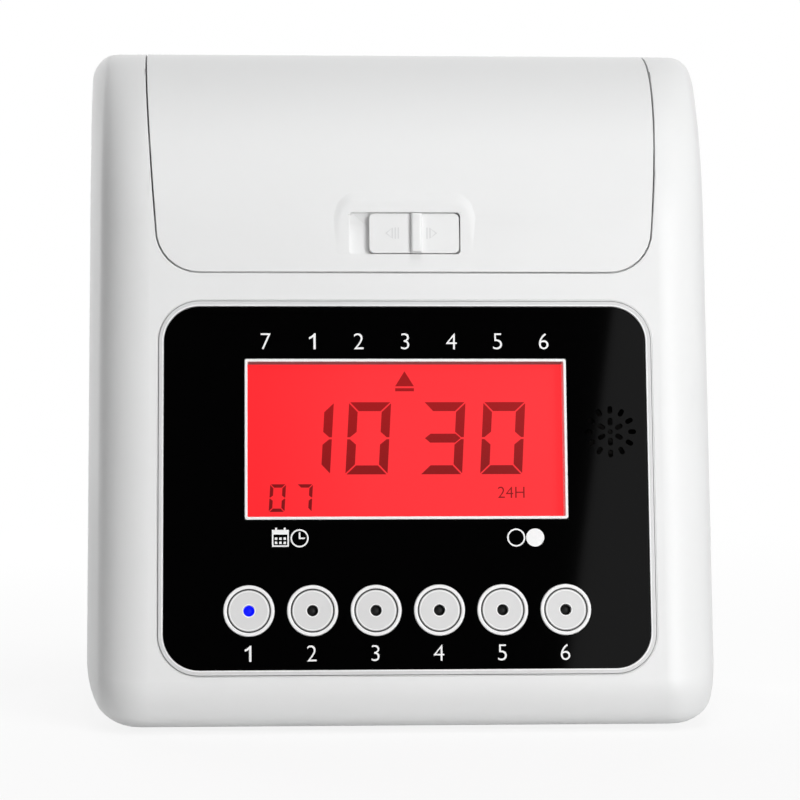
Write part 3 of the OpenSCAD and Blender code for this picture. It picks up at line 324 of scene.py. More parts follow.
finishes = dict(
    case_white=plasticFinish("satinWhite", grey(0.80, 0.995, 1.0), 0.42, 0.10, shine=0.42),
    cover_white=plasticFinish("matteWhite", grey(0.72), 0.55, 0.35, 1700.0),
    bezel_grey=plasticFinish("paleTrim", grey(0.67, 0.995, 1.005), 0.32, 0.05),
    panel_black=sheetFinish("blackSheet"),
    ring_white=plasticFinish("glossWhite", grey(0.93), 0.28, 0.04, 2600.0, 0.2),
    display_red=displayFinish("litRed", (1.0, 0.036, 0.045, 1.0), (0.98, 0.020, 0.028, 1.0),
                              (0.02, 0.002, 0.002, 1.0), 0.75, 0.15),
    light_guide=plasticFinish("milkyGuide", (0.9, 0.35, 0.34, 1.0), 0.4, 0.1),
    board_green=boardFinish("greenBoard"),
    key_silver=plasticFinish("satinKey", grey(0.70), 0.4, 0.14, 3200.0),
    lamp_blue=lampFinish("blueLens", (0.0, 0.002, 0.2, 1.0), (0.0, 0.004, 1.0, 1.0), 1.1),
    lamp_dark=lampFinish("darkLens", (0.006, 0.006, 0.006, 1.0), (0.0, 0.0, 0.0, 1.0), 0.0),
    black_plastic=plasticFinish("matteBlack", grey(0.022), 0.5, 0.3, 1900.0),
    grey_plastic=plasticFinish("matteGrey", grey(0.15), 0.52, 0.3, 1900.0),
    ivory_plastic=plasticFinish("ivory", (0.72, 0.67, 0.52, 1.0), 0.38, 0.08),
    steel=metalFinish("drawnSteel", (0.62, 0.63, 0.64, 1.0), 0.26, (0.05, 1.0, 1.0)),
    sheet_steel=metalFinish("zincSheet", (0.66, 0.68, 0.70, 1.0), 0.34, (1.0, 1.0, 0.08), 700.0),
    motor_grey=lacquerFinish("motorLacquer", (0.16, 0.165, 0.17, 1.0)),
    head_metal=metalFinish("castHead", (0.56, 0.57, 0.59, 1.0), 0.45, (1.0, 1.0, 1.0), 1500.0),
    brass=metalFinish("turnedBrass", (0.70, 0.51, 0.22, 1.0), 0.28, (1.0, 0.1, 1.0)),
    rubber=rubberFinish("blackRubber"),
    cone_paper=paperFinish("conePaper"),
    cell_wrap=sleeveFinish("cellSleeve"),
    knob_blue=plasticFinish("blueKnob", (0.045, 0.16, 0.5, 1.0), 0.4, 0.15),
    ribbon_cloth=clothFinish("inkedRibbon"),
)
whiteInk = inkFinish("whiteInk", grey(0.92))
segmentRed = displayFinish("segmentRed", (0.40, 0.006, 0.008, 1.0), (0.19, 0.005, 0.006, 1.0),
                           (0.01, 0.001, 0.001, 1.0), 0.0, 0.85)

slotOf = {part["node"]: part["material_slot"] for part in frame["record"]["subparts"]}
for name, thing in nodes.items():
    thing.data.materials.clear()
    thing.data.materials.append(finishes[slotOf[name]])
print("finishes:", len(finishes))


# Handling of pieces: points closer than weldGap are one, faces thinner than sliver go
weldGap = 0.005
sliver = 0.002
flatAngle = 0.4  # degrees


def useOnly(piece):
    bpy.ops.object.select_all(action="DESELECT")
    piece.select_set(True)
    bpy.context.view_layer.objects.active = piece


def wear(piece, finish):
    piece.data.materials.clear()
    piece.data.materials.append(finish)


def smooth(piece, angle=35):
    useOnly(piece)
    bpy.ops.object.shade_smooth_by_angle(angle=math.radians(angle))


def settle(piece, place):
    useOnly(piece)
    piece.matrix_world = place
    bpy.ops.object.transform_apply(location=True, rotation=True, scale=True)


def copyNode(node, name):
    piece = bpy.data.objects.new(name, nodes[node].data.copy())
    bpy.context.scene.collection.objects.link(piece)
    useOnly(piece)
    bpy.ops.object.mode_set(mode="EDIT")
    bpy.ops.mesh.select_all(action="SELECT")
    bpy.ops.mesh.remove_doubles(threshold=weldGap * mm)
    bpy.ops.mesh.dissolve_limited(angle_limit=math.radians(flatAngle))
    bpy.ops.object.mode_set(mode="OBJECT")
    return piece


# Rounds the sharp outward edges that a test picks by their middle point, in millimetres
def roundEdges(piece, width, steps=2, test=None, sharp=40, clamp=True):
    useOnly(piece)
    bpy.ops.object.mode_set(mode="EDIT")
    bpy.ops.mesh.select_mode(type="EDGE")
    bpy.ops.mesh.select_all(action="DESELECT")
    shape = bmesh.from_edit_mesh(piece.data)
    picked = 0
    for edge in shape.edges:
        if len(edge.link_faces) != 2 or not edge.is_convex:
            continue
        if edge.calc_face_angle(0.0) < math.radians(sharp):
            continue
        middle = (edge.verts[0].co + edge.verts[1].co) / (2 * mm)
        if test is None or test(middle):
            edge.select_set(True)
            picked += 1
    bmesh.update_edit_mesh(piece.data)
    if picked:
        bpy.ops.mesh.bevel(offset=width * mm, offset_type="OFFSET", segments=steps, profile=0.5,
                           affect="EDGES", clamp_overlap=clamp)
        bpy.ops.mesh.select_all(action="SELECT")
        bpy.ops.mesh.dissolve_degenerate(threshold=sliver * mm)
    bpy.ops.object.mode_set(mode="OBJECT")
    return picked


def weightNormals(piece):
    useOnly(piece)
    modifier = piece.modifiers.new("evenShade", "WEIGHTED_NORMAL")
    modifier.keep_sharp = True
    bpy.ops.object.modifier_apply(modifier=modifier.name)


def finishCopy(piece, node, body, angle=35):
    smooth(piece, angle)
    weightNormals(piece)
    wear(piece, finishes[slotOf[node]])
    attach(piece, body)
    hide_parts(node)


def claim(piece, slot, body="case", finish=None):
    wear(piece, finish or finishes[slot])
    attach(piece, body)


# Case and door: moulded shells with softened seam and panel edges
shells = dict(steps=2, sharp=50, shade=32, reach=90.5, plain=82.0, near=0.15, nearSide=0.8,
              thin=0.12, level=0.995)
caseSize = dict(soft=0.25, wide=83.8)
doorSize = dict(soft=0.3, wide=90.0)


def onSkin(point):
    near = shells["near"] if abs(point.x) < shells["plain"] else shells["nearSide"]
    return abs(point.x) < shells["reach"] and abs(point.y - skinY(point.z)) < near


# Shades the faces of the skin by the curve they stand for
def evenSkin(piece, wide):
    mesh = piece.data
    normals = [Vector(corner.vector) for corner in mesh.corner_normals]
    for face in mesh.polygons:
        middle = face.center / mm
        out = skinNormal(middle.z)
        off = abs(middle.y - skinY(middle.z)) * abs(out.y)
        if off < shells["thin"] and face.normal.dot(out) > shells["level"] and abs(middle.x) < wide:
            for corner in face.loop_indices:
                spot = mesh.vertices[mesh.loops[corner].vertex_index].co
                if abs(spot.x) < wide * mm:
                    normals[corner] = skinNormal(spot.z / mm)
    mesh.normals_split_custom_set(normals)


def mouldedShell(node, name, body, size):
    piece = copyNode(node, name)
    count = roundEdges(piece, size["soft"], shells["steps"], onSkin, shells["sharp"], False)
    finishCopy(piece, node, body, shells["shade"])
    evenSkin(piece, size["wide"])
    print(name, "edges rounded:", count)


mouldedShell("front_housing", "caseShell", "case", caseSize)
mouldedShell("ribbon_door", "doorShell", "door", doorSize)

# The row of keys on the panel
keyRow = dict(count=6, pitch=20.52, v=-40.2)


def keyU(k):
    return (k - (keyRow["count"] + 1) / 2) * keyRow["pitch"]


def nearestKeyU(u):
    return (round(u / keyRow["pitch"] - 0.5) + 0.5) * keyRow["pitch"]


# Pieces with plain softened edges: node, name, body, width and steps
softened = [
    ("back_cover", "backCover", "case", 0.4, 2),
    ("panel_bezel", "panelFrame", "case", 0.3, 2),
    ("lcd_surround", "displaySurround", "case", 0.2, 2),
    ("latch_slider", "latchSlider", "latch", 0.25, 2),
    ("key_rings", "keyRings", "case", 0.35, 3),
    ("card_mouth", "cardMouth", "case", 0.4, 2),
    ("ribbon_cassette", "ribbonCassette", "case", 0.5, 2),
    ("ribbon_knob", "ribbonKnob", "ribbon_knob", 0.4, 2),
    ("power_inlet", "powerInlet", "case", 0.3, 2),
    ("rubber_feet", "rubberFeet", "case", 0.3, 2),
    ("carriage", "carriageBlock", "carriage", 0.5, 2),
    ("print_head", "printHead", "carriage", 0.3, 2),
    ("battery_cells", "batteryCells", "case", 0.6, 2),
    ("feed_motor", "feedMotor", "case", 0.6, 2),
    ("carriage_motor", "carriageMotor", "case", 0.6, 2),
    ("feed_rollers", "feedRollers", "feed_roll", 0.4, 2),
    ("pinch_rollers", "pinchRollers", "pinch_roll", 0.4, 2),
    ("lamp_lit", "litLamp", "case", 0.5, 3),
    ("lamps_unlit", "darkLamps", "case", 0.5, 3),
    ("board_chips", "boardChips", "case", 0.25, 2),
]
for k in range(1, keyRow["count"] + 1):
    softened.append(("key_cap_%d" % k, "keyCap%d" % k, "key_%d" % k, 0.28, 3))


# Moves the points that a rule gives a new place, in millimetres on the leaning plane
def reshape(piece, rule):
    toPanel = panelPlace.inverted()
    for point in piece.data.vertices:
        moved = rule(*(toPanel @ point.co / mm))
        if moved:
            point.co = panelPlace @ (Vector(moved) * mm)


# The lenses fill the holes in the key caps, with a hair's breadth left free
lens = dict(back=-6.0, spread=1.15)


def widerLens(u, v, w):
    if w > lens["back"]:
        middle = nearestKeyU(u)
        return (middle + (u - middle) * lens["spread"],
                keyRow["v"] + (v - keyRow["v"]) * lens["spread"], w)


# Caps drawn in a little at the front, so that the groove about them shows
cap = dict(back=-3.3, inner=6.0, outer=7.0, draw=0.18)


def slimmerCap(u, v, w):
    side = Vector((u - nearestKeyU(u), v - keyRow["v"]))
    if w > cap["back"] and cap["inner"] < side.length < cap["outer"]:
        side *= 1 - cap["draw"] / side.length
        return (side.x + nearestKeyU(u), side.y + keyRow["v"], w)


# Latch slider: rounder corners, and a grip rib whose long edges are rounder than the rest
slider = dict(u=3.1, v=83.8, halfU=14.85, halfV=6.65, old=1.04, new=1.9, near=0.03)
grip = dict(low=1.6, half=5.5, soft=0.9, steps=4)


def rounderCorners(u, v, w):
    across, up = u - slider["u"], v - slider["v"]
    cornerU = abs(across) - slider["halfU"] + slider["old"]
    cornerV = abs(up) - slider["halfV"] + slider["old"]
    onArc = abs(math.hypot(cornerU, cornerV) - slider["old"]) < slider["near"]
    if onArc and min(cornerU, cornerV) > -slider["near"]:
        grow = slider["new"] / slider["old"]
        newU = slider["halfU"] - slider["new"] + cornerU * grow
        newV = slider["halfV"] - slider["new"] + cornerV * grow
        return (slider["u"] + math.copysign(newU, across), slider["v"] + math.copysign(newV, up), w)


def gripEdge(point):
    u, v, w = panelPlace.inverted() @ (point * mm) / mm
    return w > grip["low"] and abs(v - slider["v"]) < grip["half"]


# The seam between the cassette's tray and its lid
cassette = dict(seam=(177.3, 177.9), deep=0.5, knob=(50.0, -26.03), clear=8.0, upright=0.1, top=182.0)


def lidSeam(piece):
    useOnly(piece)
    bpy.ops.object.mode_set(mode="EDIT")
    for z in cassette["seam"]:
        bpy.ops.mesh.select_all(action="SELECT")
        bpy.ops.mesh.bisect(plane_co=(0.0, 0.0, z * mm), plane_no=(0.0, 0.0, 1.0))
    bpy.ops.mesh.select_mode(type="FACE")
    bpy.ops.mesh.select_all(action="DESELECT")
    shape = bmesh.from_edit_mesh(piece.data)
    for face in shape.faces:
        middle = face.calc_center_median() / mm
        aside = math.hypot(middle.x - cassette["knob"][0], middle.y - cassette["knob"][1])
        within = cassette["seam"][0] < middle.z < cassette["seam"][1]
        if within and aside > cassette["clear"] and abs(face.normal.z) < cassette["upright"]:
            face.select_set(True)
    bmesh.update_edit_mesh(piece.data)
    bpy.ops.mesh.extrude_region_shrink_fatten(TRANSFORM_OT_shrink_fatten={"value": -cassette["deep"] * mm})
    bpy.ops.object.mode_set(mode="OBJECT")


for node, name, body, width, steps in softened:
    piece = copyNode(node, name)
    if node.startswith("lamp"):
        reshape(piece, widerLens)
    if node.startswith("key_cap"):
        reshape(piece, slimmerCap)
    if node == "latch_slider":
        reshape(piece, rounderCorners)
        roundEdges(piece, grip["soft"], grip["steps"], gripEdge)
    if node == "ribbon_cassette":
        lidSeam(piece)
    roundEdges(piece, width, steps)
    finishCopy(piece, node, body)
print("softened pieces:", len(softened))


# Back screws: round-edged heads with a cross recess
screwHead = dict(r=3.0, arm=0.36, reach=1.85, deep=1.2, taper=0.55, rim=0.45, rimSteps=3, near=0.1)


def recessArms(places, wide, tall):
    arms = []
    for x, y, z in places:
        bpy.ops.object.select_all(action="DESELECT")
        bpy.ops.mesh.primitive_cube_add(size=2.0)
        arm = bpy.context.object
        for point in arm.data.vertices:
            fit = 1.0 if point.co.y > 0 else screwHead["taper"]
            point.co = Vector((x + point.co.x * wide * fit, y + point.co.y * screwHead["deep"],
                               z + point.co.z * tall * fit)) * mm
        arms.append(arm)
    useOnly(arms[0])
    for arm in arms[1:]:
        arm.select_set(True)
    bpy.ops.object.join()
    return arms[0]


def backScrews():
    low, high = (Vector(corner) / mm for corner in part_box("case_screws"))
    r = screwHead["r"]
    places = [(x, high.y, z) for x in (low.x + r, high.x - r) for z in (low.z + r, high.z - r)]
    piece = copyNode("case_screws", "caseScrews")
    roundEdges(piece, screwHead["rim"], screwHead["rimSteps"],
               lambda point: point.y > high.y - screwHead["near"])
    arm = (screwHead["arm"], screwHead["reach"])
    for wide, tall in (arm, arm[::-1]):
        cutter = recessArms(places, wide, tall)
        useOnly(piece)
        recess = piece.modifiers.new("recess", "BOOLEAN")
        recess.operation = "DIFFERENCE"
        recess.solver = "EXACT"
        recess.object = cutter
        bpy.ops.object.modifier_apply(modifier=recess.name)
        bpy.data.objects.remove(cutter)
    finishCopy(piece, "case_screws", "case")


backScrews()
print("back screws made")


# Latch seat: the flat that grows out of the round-over about the latch, with soft flanks
seat = dict(z=162.3275, half=24.2, top=14.2, low=9.5, out=1.2, step=0.55, thick=0.4, shade=40,
            hinge=3.4, tilt=1.5, cover=0.06, bury=0.08, soft=0.4, fade=4.0, corner=7.5, cornerUp=11.0,
            pocketHalf=18.35, pocketUp=7.05)


def ease(t):
    t = min(1.0, max(0.0, t))
    return t * t * (3 - 2 * t)


def seatMask(u, rise):
    across = max(0.0, abs(u) - seat["half"] + seat["corner"]) / seat["corner"]
    above = max(0.0, rise - seat["top"] + seat["cornerUp"]) / seat["cornerUp"]
    inside = 1.0 - math.hypot(across, above)
    return ease(inside / seat["soft"]) * ease((rise + seat["low"]) / seat["fade"])


def seatPoint(u, rise):
    z = seat["z"] + rise * math.cos(lean)
    lift = max(0.0, rise + seat["hinge"]) * math.tan(math.radians(seat["tilt"]))
    flat = faceY(z) - lift / math.cos(lean) - seat["cover"]
    buried = skinY(z) + seat["bury"]
    return Vector((u, buried + (flat - buried) * seatMask(u, rise), z)) * mm


def gridLines(low, high, stops, step):
    edges = [low] + stops + [high]
    lines = [low]
    for a, b in zip(edges, edges[1:]):
        count = max(1, round((b - a) / step))
        lines += [a + (b - a) * k / count for k in range(1, count + 1)]
    return lines


def latchSeat():
    wide = seat["half"] + seat["out"]
    across = gridLines(-wide, wide, [-seat["pocketHalf"], seat["pocketHalf"]], seat["step"])
    upward = gridLines(-seat["low"], seat["top"] + seat["out"], [-seat["pocketUp"], seat["pocketUp"]],
                       seat["step"])
    columns, rows = len(across) - 1, len(upward) - 1
    bpy.ops.object.select_all(action="DESELECT")
    bpy.ops.mesh.primitive_grid_add(x_subdivisions=columns, y_subdivisions=rows, size=1.0, calc_uvs=False)
    piece = bpy.context.object
    piece.name = "latchSeat"
    for point in piece.data.vertices:
        column, row = round((point.co.x + 0.5) * columns), round((point.co.y + 0.5) * rows)
        point.co = seatPoint(across[column], upward[row])
    bpy.ops.object.mode_set(mode="EDIT")
    bpy.ops.mesh.select_mode(type="FACE")
    bpy.ops.mesh.select_all(action="DESELECT")
    shape = bmesh.from_edit_mesh(piece.data)
    for face in shape.faces:
        middle = face.calc_center_median() / mm
        rise = (middle.z - seat["z"]) / math.cos(lean)
        face.select_set(abs(middle.x) < seat["pocketHalf"] and abs(rise) < seat["pocketUp"])
    bmesh.update_edit_mesh(piece.data)
    bpy.ops.mesh.delete(type="FACE")
    bpy.ops.object.mode_set(mode="OBJECT")
    skin = piece.modifiers.new("thickness", "SOLIDIFY")
    skin.thickness = seat["thick"] * mm
    skin.offset = -1.0
    bpy.ops.object.modifier_apply(modifier=skin.name)
    smooth(piece, seat["shade"])
    claim(piece, "case_white", "door")


latchSeat()
print("latch seat made")

# Printed marks and display digits, in millimetres on the leaning plane
panelLayer = (-1.02, -0.95)
glassLayer = (-7.02, -6.93)
sliderLayer = (-0.12, -0.085)


# A flat plate from outlines, welded where they meet
def plate(name, outlines, layer, place=panelPlace):
    bpy.ops.object.select_all(action="DESELECT")
    bpy.ops.mesh.primitive_circle_add(vertices=len(outlines[0]), fill_type="NGON", calc_uvs=False)
    piece = bpy.context.object
    piece.name = name
    bpy.ops.object.mode_set(mode="EDIT")
    for outline in outlines[1:]:
        bpy.ops.mesh.primitive_circle_add(vertices=len(outline), fill_type="NGON", calc_uvs=False)
    bpy.ops.object.mode_set(mode="OBJECT")
    corners = [corner for outline in outlines for corner in outline]
    for point, (u, v) in zip(piece.data.vertices, corners):
        point.co = Vector((u, v, layer[0])) * mm
    bpy.ops.object.mode_set(mode="EDIT")
    bpy.ops.mesh.select_all(action="SELECT")
    bpy.ops.mesh.remove_doubles(threshold=weldGap * mm)
    thick = (layer[1] - layer[0]) * mm
    bpy.ops.mesh.extrude_region_move(TRANSFORM_OT_translate={"value": (0.0, 0.0, thick)})
    bpy.ops.mesh.select_all(action="SELECT")
    bpy.ops.mesh.normals_make_consistent(inside=False)
    bpy.ops.object.mode_set(mode="OBJECT")
    settle(piece, place)
    return piece


# Letters as thin plates, fitted to their height
letters = dict(extrude=0.1, slim=-0.01)


def lettering(name, text, u, v, tall, layer):
    bpy.ops.object.select_all(action="DESELECT")
    bpy.ops.object.text_add()
    piece = bpy.context.object
    piece.name = name
    piece.data.body = text
    piece.data.extrude = letters["extrude"]
    piece.data.offset = letters["slim"]
    bpy.ops.object.convert(target="MESH")
    piece = bpy.context.object
    low = Vector([min(p.co[k] for p in piece.data.vertices) for k in range(3)])
    high = Vector([max(p.co[k] for p in piece.data.vertices) for k in range(3)])
    middle = (low + high) / 2
    scale = tall / (high.y - low.y)
    for point in piece.data.vertices:
        flat = (point.co - middle) * scale
        w = layer[1] if point.co.z > middle.z else layer[0]
        point.co = Vector((u + flat.x, v + flat.y, w)) * mm
    settle(piece, panelPlace)
    return piece


def bar(u0, v0, u1, v1):
    return [(u0, v0), (u1, v0), (u1, v1), (u0, v1)]


def ring(u, v, outer, inner, steps=36, start=0.0, turn=360.0):
    parts = []
    for k in range(steps):
        a = math.radians(start + turn * k / steps)
        b = math.radians(start + turn * (k + 1) / steps)
        parts.append([(u + r * math.cos(t), v + r * math.sin(t)) for r, t in
                      ((inner, a), (outer, a), (outer, b), (inner, b))])
    return parts


def disc(u, v, r, steps=36):
    turns = [2 * math.pi * k / steps for k in range(steps)]
    return [(u + r * math.cos(a), v + r * math.sin(a)) for a in turns]


# A one with a flag, in a box one unit high
flagOne = [(0.07, -0.5), (0.21, -0.5), (0.21, 0.5), (0.12, 0.5), (0.03, 0.4), (-0.08, 0.315),
           (-0.2, 0.25), (-0.2, 0.125), (-0.1, 0.165), (-0.01, 0.215), (0.07, 0.28)]


def numeral(name, digit, u, v, tall):
    if digit == "1":
        return plate(name, [[(u + x * tall, v + y * tall) for x, y in flagOne]], panelLayer)
    return lettering(name, digit, u, v, tall, panelLayer)


keyNumbers = dict(shift=-0.3, v=-53.95, tall=5.15)
for k in range(1, keyRow["count"] + 1):
    u = keyU(k) + keyNumbers["shift"]
    mark = numeral("keyNumber%d" % k, str(k), u, keyNumbers["v"], keyNumbers["tall"])
    claim(mark, "ring_white", finish=whiteInk)

dayRow = dict(pitch=15.2, middle=-0.15, v=47.87, tall=5.3, digits="7123456")
for k, digit in enumerate(dayRow["digits"]):
    u = dayRow["middle"] + (k - (len(dayRow["digits"]) - 1) / 2) * dayRow["pitch"]
    mark = numeral("dayNumber%d" % (k + 1), digit, u, dayRow["v"], dayRow["tall"])
    claim(mark, "ring_white", finish=whiteInk)

# Dark groove about each key cap, and painted highlights: pale rings on the rim of the cap and on that of
# its lamp hole, where their bevels catch the light
keyGrooveAndHighlights = dict(groove=(7.09, 6.65), edge=(6.34, 6.06), hole=(2.2, 1.88), steps=64, holeSteps=32,
               low=(-1.05, -0.72), top=(-0.62, -0.585))
grooves = []
for k in range(1, keyRow["count"] + 1):
    spot = (keyU(k), keyRow["v"])
    grooves += ring(*spot, *keyGrooveAndHighlights["groove"], keyGrooveAndHighlights["steps"])
    capHighlights = ring(*spot, *keyGrooveAndHighlights["edge"], keyGrooveAndHighlights["steps"])
    capHighlights += ring(*spot, *keyGrooveAndHighlights["hole"], keyGrooveAndHighlights["holeSteps"])
    claim(plate("keyHighlight%d" % k, capHighlights, keyGrooveAndHighlights["top"]), "ring_white", "key_%d" % k)
claim(plate("keyGrooves", grooves, keyGrooveAndHighlights["low"]), "black_plastic")


def roundOutline(halfU, halfV, r, steps):
    points = []
    for su, sv, start in ((1, 1, 0), (-1, 1, 90), (-1, -1, 180), (1, -1, 270)):
        for k in range(steps + 1):
            a = math.radians(start + 90 * k / steps)
            points.append((su * (halfU - r) + r * math.cos(a), sv * (halfV - r) + r * math.sin(a)))
    return points


def outlineBand(inner, outer):
    return [[inner[k - 1], outer[k - 1], outer[k], inner[k]] for k in range(len(inner))]


def roundBand(size, steps=14):
    half, r, wide = size["half"], size["r"], size["wide"]
    inner = roundOutline(*half, r, steps)
    outer = roundOutline(half[0] + wide, half[1] + wide, r + wide, steps)
    return outlineBand(inner, outer)


# Painted highlight along the inner edge of the panel frame: a thin white band where its bevel catches the
# light
panelEdgeHighlight = dict(half=(79.0, 59.4), r=11.7, wide=0.42, layer=(0.27, 0.315))
claim(plate("panelEdgeHighlight", roundBand(panelEdgeHighlight), panelEdgeHighlight["layer"]), "ring_white")

# Thin lip of the case that narrows the seam about the panel frame
frameStep = dict(half=(80.8, 61.2), r=13.5, wide=0.27, layer=(-0.9, -0.05))
claim(plate("frameStep", roundBand(frameStep), frameStep["layer"]), "case_white")

# Shade on the upper inner wall of the display surround
surround = dict(half=51.7, top=41.13, thick=0.05, layer=(-6.95, -1.35))
shade = bar(-surround["half"], surround["top"] - surround["thick"], surround["half"], surround["top"])
claim(plate("surroundShade", [shade], surround["layer"]), "grey_plastic")

# Calendar page and clock under the left of the display, two round patches under the right
icons = dict(v=-16.75, line=0.5)
page = dict(u=-41.1, half=2.75, head=1.5, days=(-1.4, 0.0, 1.4), weeks=(-1.45, -0.1), day=0.4,
            tabs=(-1.4, 1.4), tab=0.3, tabTall=0.7)
dial = dict(u=-34.9, r=2.95, minute=0.65, hour=0.6)
patches = dict(plain=35.5, full=41.7, r=2.95)


def pageIcon():
    u, v, r, t = page["u"], icons["v"], page["half"], icons["line"]
    opening = bar(u - r + t, v - r + t, u + r - t, v + r - page["head"])
    outlines = outlineBand(opening, bar(u - r, v - r, u + r, v + r))
    for x in page["days"]:
        for y in page["weeks"]:
            d = page["day"]
            outlines.append(bar(u + x - d, v + y - d, u + x + d, v + y + d))
    for x in page["tabs"]:
        outlines.append(bar(u + x - page["tab"], v + r, u + x + page["tab"], v + r + page["tabTall"]))
    return outlines


def dialIcon():
    u, v, r, t = dial["u"], icons["v"], dial["r"], icons["line"]
    hour, minute, edge = dial["hour"] * r, dial["minute"] * r, t / 2
    hands = [(-edge, -edge), (hour, -edge), (hour, edge), (edge, edge), (edge, minute), (-edge, minute)]
    return ring(u, v, r, r - t) + [[(u + x, v + y) for x, y in hands]]


def patchIcon():
    r = patches["r"]
    return ring(patches["plain"], icons["v"], r, r - icons["line"]) + [disc(patches["full"], icons["v"], r)]


claim(plate("dateIcon", pageIcon() + dialIcon(), panelLayer), "ring_white", finish=whiteInk)
claim(plate("shadeIcon", patchIcon(), panelLayer), "ring_white", finish=whiteInk)

# Seven bars of one digit, mitred, with the slant of the display
litBars = {"0": "abcdef", "1": "bc", "3": "abcdg", "7": "abc"}


def digitBars(row, digit, left):
    w, h, t, g = row["wide"], row["tall"], row["thick"], row["gap"]
    m = h / 2
    nib, cut = 0.3 * t, 0.6 * t  # blunt end of an upright bar, and the cut beside it
    tip, side = 0.35 * t, 0.95 * t  # ends of the middle bar
    bars = dict(
        a=[(g, h), (w - g, h), (w - t - g, h - t), (t + g, h - t)],
        d=[(g, 0), (t + g, t), (w - t - g, t), (w - g, 0)],
        f=[(0, h - g), (0, m + g), (nib, m + g), (t, m + g + cut), (t, h - t - g)],
        e=[(0, g), (t, t + g), (t, m - g - cut), (nib, m - g), (0, m - g)],
        b=[(w, h - g), (w - t, h - t - g), (w - t, m + g + cut), (w - nib, m + g), (w, m + g)],
        c=[(w, g), (w, m - g), (w - nib, m - g), (w - t, m - g - cut), (w - t, t + g)],
        g=[(tip, m), (side, m + t / 2), (w - side, m + t / 2), (w - tip, m), (w - side, m - t / 2),
           (side, m - t / 2)])
    skew = math.tan(math.radians(row["slant"]))
    return [[(left + x + y * skew, row["low"] + y) for x, y in bars[name]] for name in litBars[digit]]


bigDigits = dict(low=4.7, tall=23.85, wide=13.8, thick=2.95, gap=0.34, slant=3.3,
                 places=(("1", -38.6), ("0", -19.75), ("3", 4.75), ("0", 24.5)))
smallDigits = dict(low=-7.55, tall=9.05, wide=5.15, thick=1.1, gap=0.22, slant=3.3,
                   places=(("0", -44.85), ("7", -36.05)))
for name, row in (("hourDigits", bigDigits), ("dateDigits", smallDigits)):
    outlines = []
    for digit, left in row["places"]:
        outlines += digitBars(row, digit, left)
    claim(plate(name, outlines, glassLayer), "display_red", finish=segmentRed)

# Pointer under the day, and the mode letters
pointer = dict(u=-0.12, half=3.08, low=33.85, high=38.84, barLow=32.19, barHigh=33.2)
hourMode = dict(text="24H", u=34.65, v=-1.31, tall=3.7)


def pointerMarks():
    left, right = pointer["u"] - pointer["half"], pointer["u"] + pointer["half"]
    triangle = [(left, pointer["low"]), (right, pointer["low"]), (pointer["u"], pointer["high"])]
    return [triangle, bar(left, pointer["barLow"], right, pointer["barHigh"])]


claim(plate("dayPointer", pointerMarks(), glassLayer), "display_red", finish=segmentRed)
mode = lettering("hourMode", hourMode["text"], hourMode["u"], hourMode["v"], hourMode["tall"], glassLayer)
claim(mode, "display_red", finish=segmentRed)

# Moulded arrows on the latch slider, as painted shade: a thin plate of darker grey stands for the shade of
# their low relief
shadedArrows = dict(half=1.9, gap=0.55, line=0.45, depth=2.6, mitre=0.63,
              left=(-3.9, 2), right=(8.1, 1))  # place of the base, lines behind it


def arrowMarks():
    v, h, t = slider["v"], shadedArrows["half"], shadedArrows["line"]
    marks = []
    for side, (base, lines) in ((-1, shadedArrows["left"]), (1, shadedArrows["right"])):
        tip, inner = base + side * shadedArrows["depth"], base + side * t
        tipIn = tip - side * shadedArrows["mitre"]
        marks += [[(base, v - h), (base, v + h), (inner, v + h - t), (inner, v - h + t)],
                  [(base, v + h), (tip, v), (tipIn, v), (inner, v + h - t)],
                  [(base, v - h), (tip, v), (tipIn, v), (inner, v - h + t)]]
        for k in range(lines):
            start = base - side * (shadedArrows["gap"] + k * (shadedArrows["gap"] + t))
            end = start - side * t
            marks.append(bar(min(start, end), v - h, max(start, end), v + h))
    return marks


claim(plate("latchArrowShade", arrowMarks(), sliderLayer), "bezel_grey", "latch")

# Turn mark beside the ribbon knob
turnMark = dict(outer=9.6, inner=8.9, start=200.0, turn=120.0, tip=20.0, spread=1.5, steps=20,
                layer=(-0.02, 0.05))


def turnArrow():
    u, v = cassette["knob"]
    size = turnMark
    marks = ring(u, v, size["outer"], size["inner"], size["steps"], size["start"], size["turn"])
    middle = (size["outer"] + size["inner"]) / 2
    end, tip = (math.radians(size["start"] + size["turn"] + more) for more in (0.0, size["tip"]))
    corners = ((middle - size["spread"], end), (middle + size["spread"], end), (middle, tip))
    marks.append([(u + r * math.cos(a), v + r * math.sin(a)) for r, a in corners])
    return marks


onLid = Matrix.Translation((0.0, 0.0, cassette["top"] * mm))
claim(plate("turnMark", turnArrow(), turnMark["layer"], onLid), "ring_white", finish=whiteInk)
print("marks made")

# Lights, floor and camera
photoView = dict(target=(-2.25, -63.97, 107.6), far=900.0, turn=-3.0, rise=1.0, lens=124.7, sensor=36.0,
                 near=10.0)


def addCamera():
    turn = math.radians(photoView["turn"])
    rise = math.radians(photoView["rise"])
    aim = Vector(photoView["target"]) * mm
    back = Vector((math.sin(turn) * math.cos(rise), -math.cos(turn) * math.cos(rise), math.sin(rise)))
    bpy.ops.object.camera_add(location=aim + back * photoView["far"] * mm)
    eye = bpy.context.object
    eye.name = "photoCamera"
    eye.rotation_euler = (-back).to_track_quat("-Z", "Y").to_euler()
    eye.data.lens = photoView["lens"]
    eye.data.sensor_width = photoView["sensor"]
    eye.data.clip_start = photoView["near"] * mm
    bpy.context.scene.camera = eye


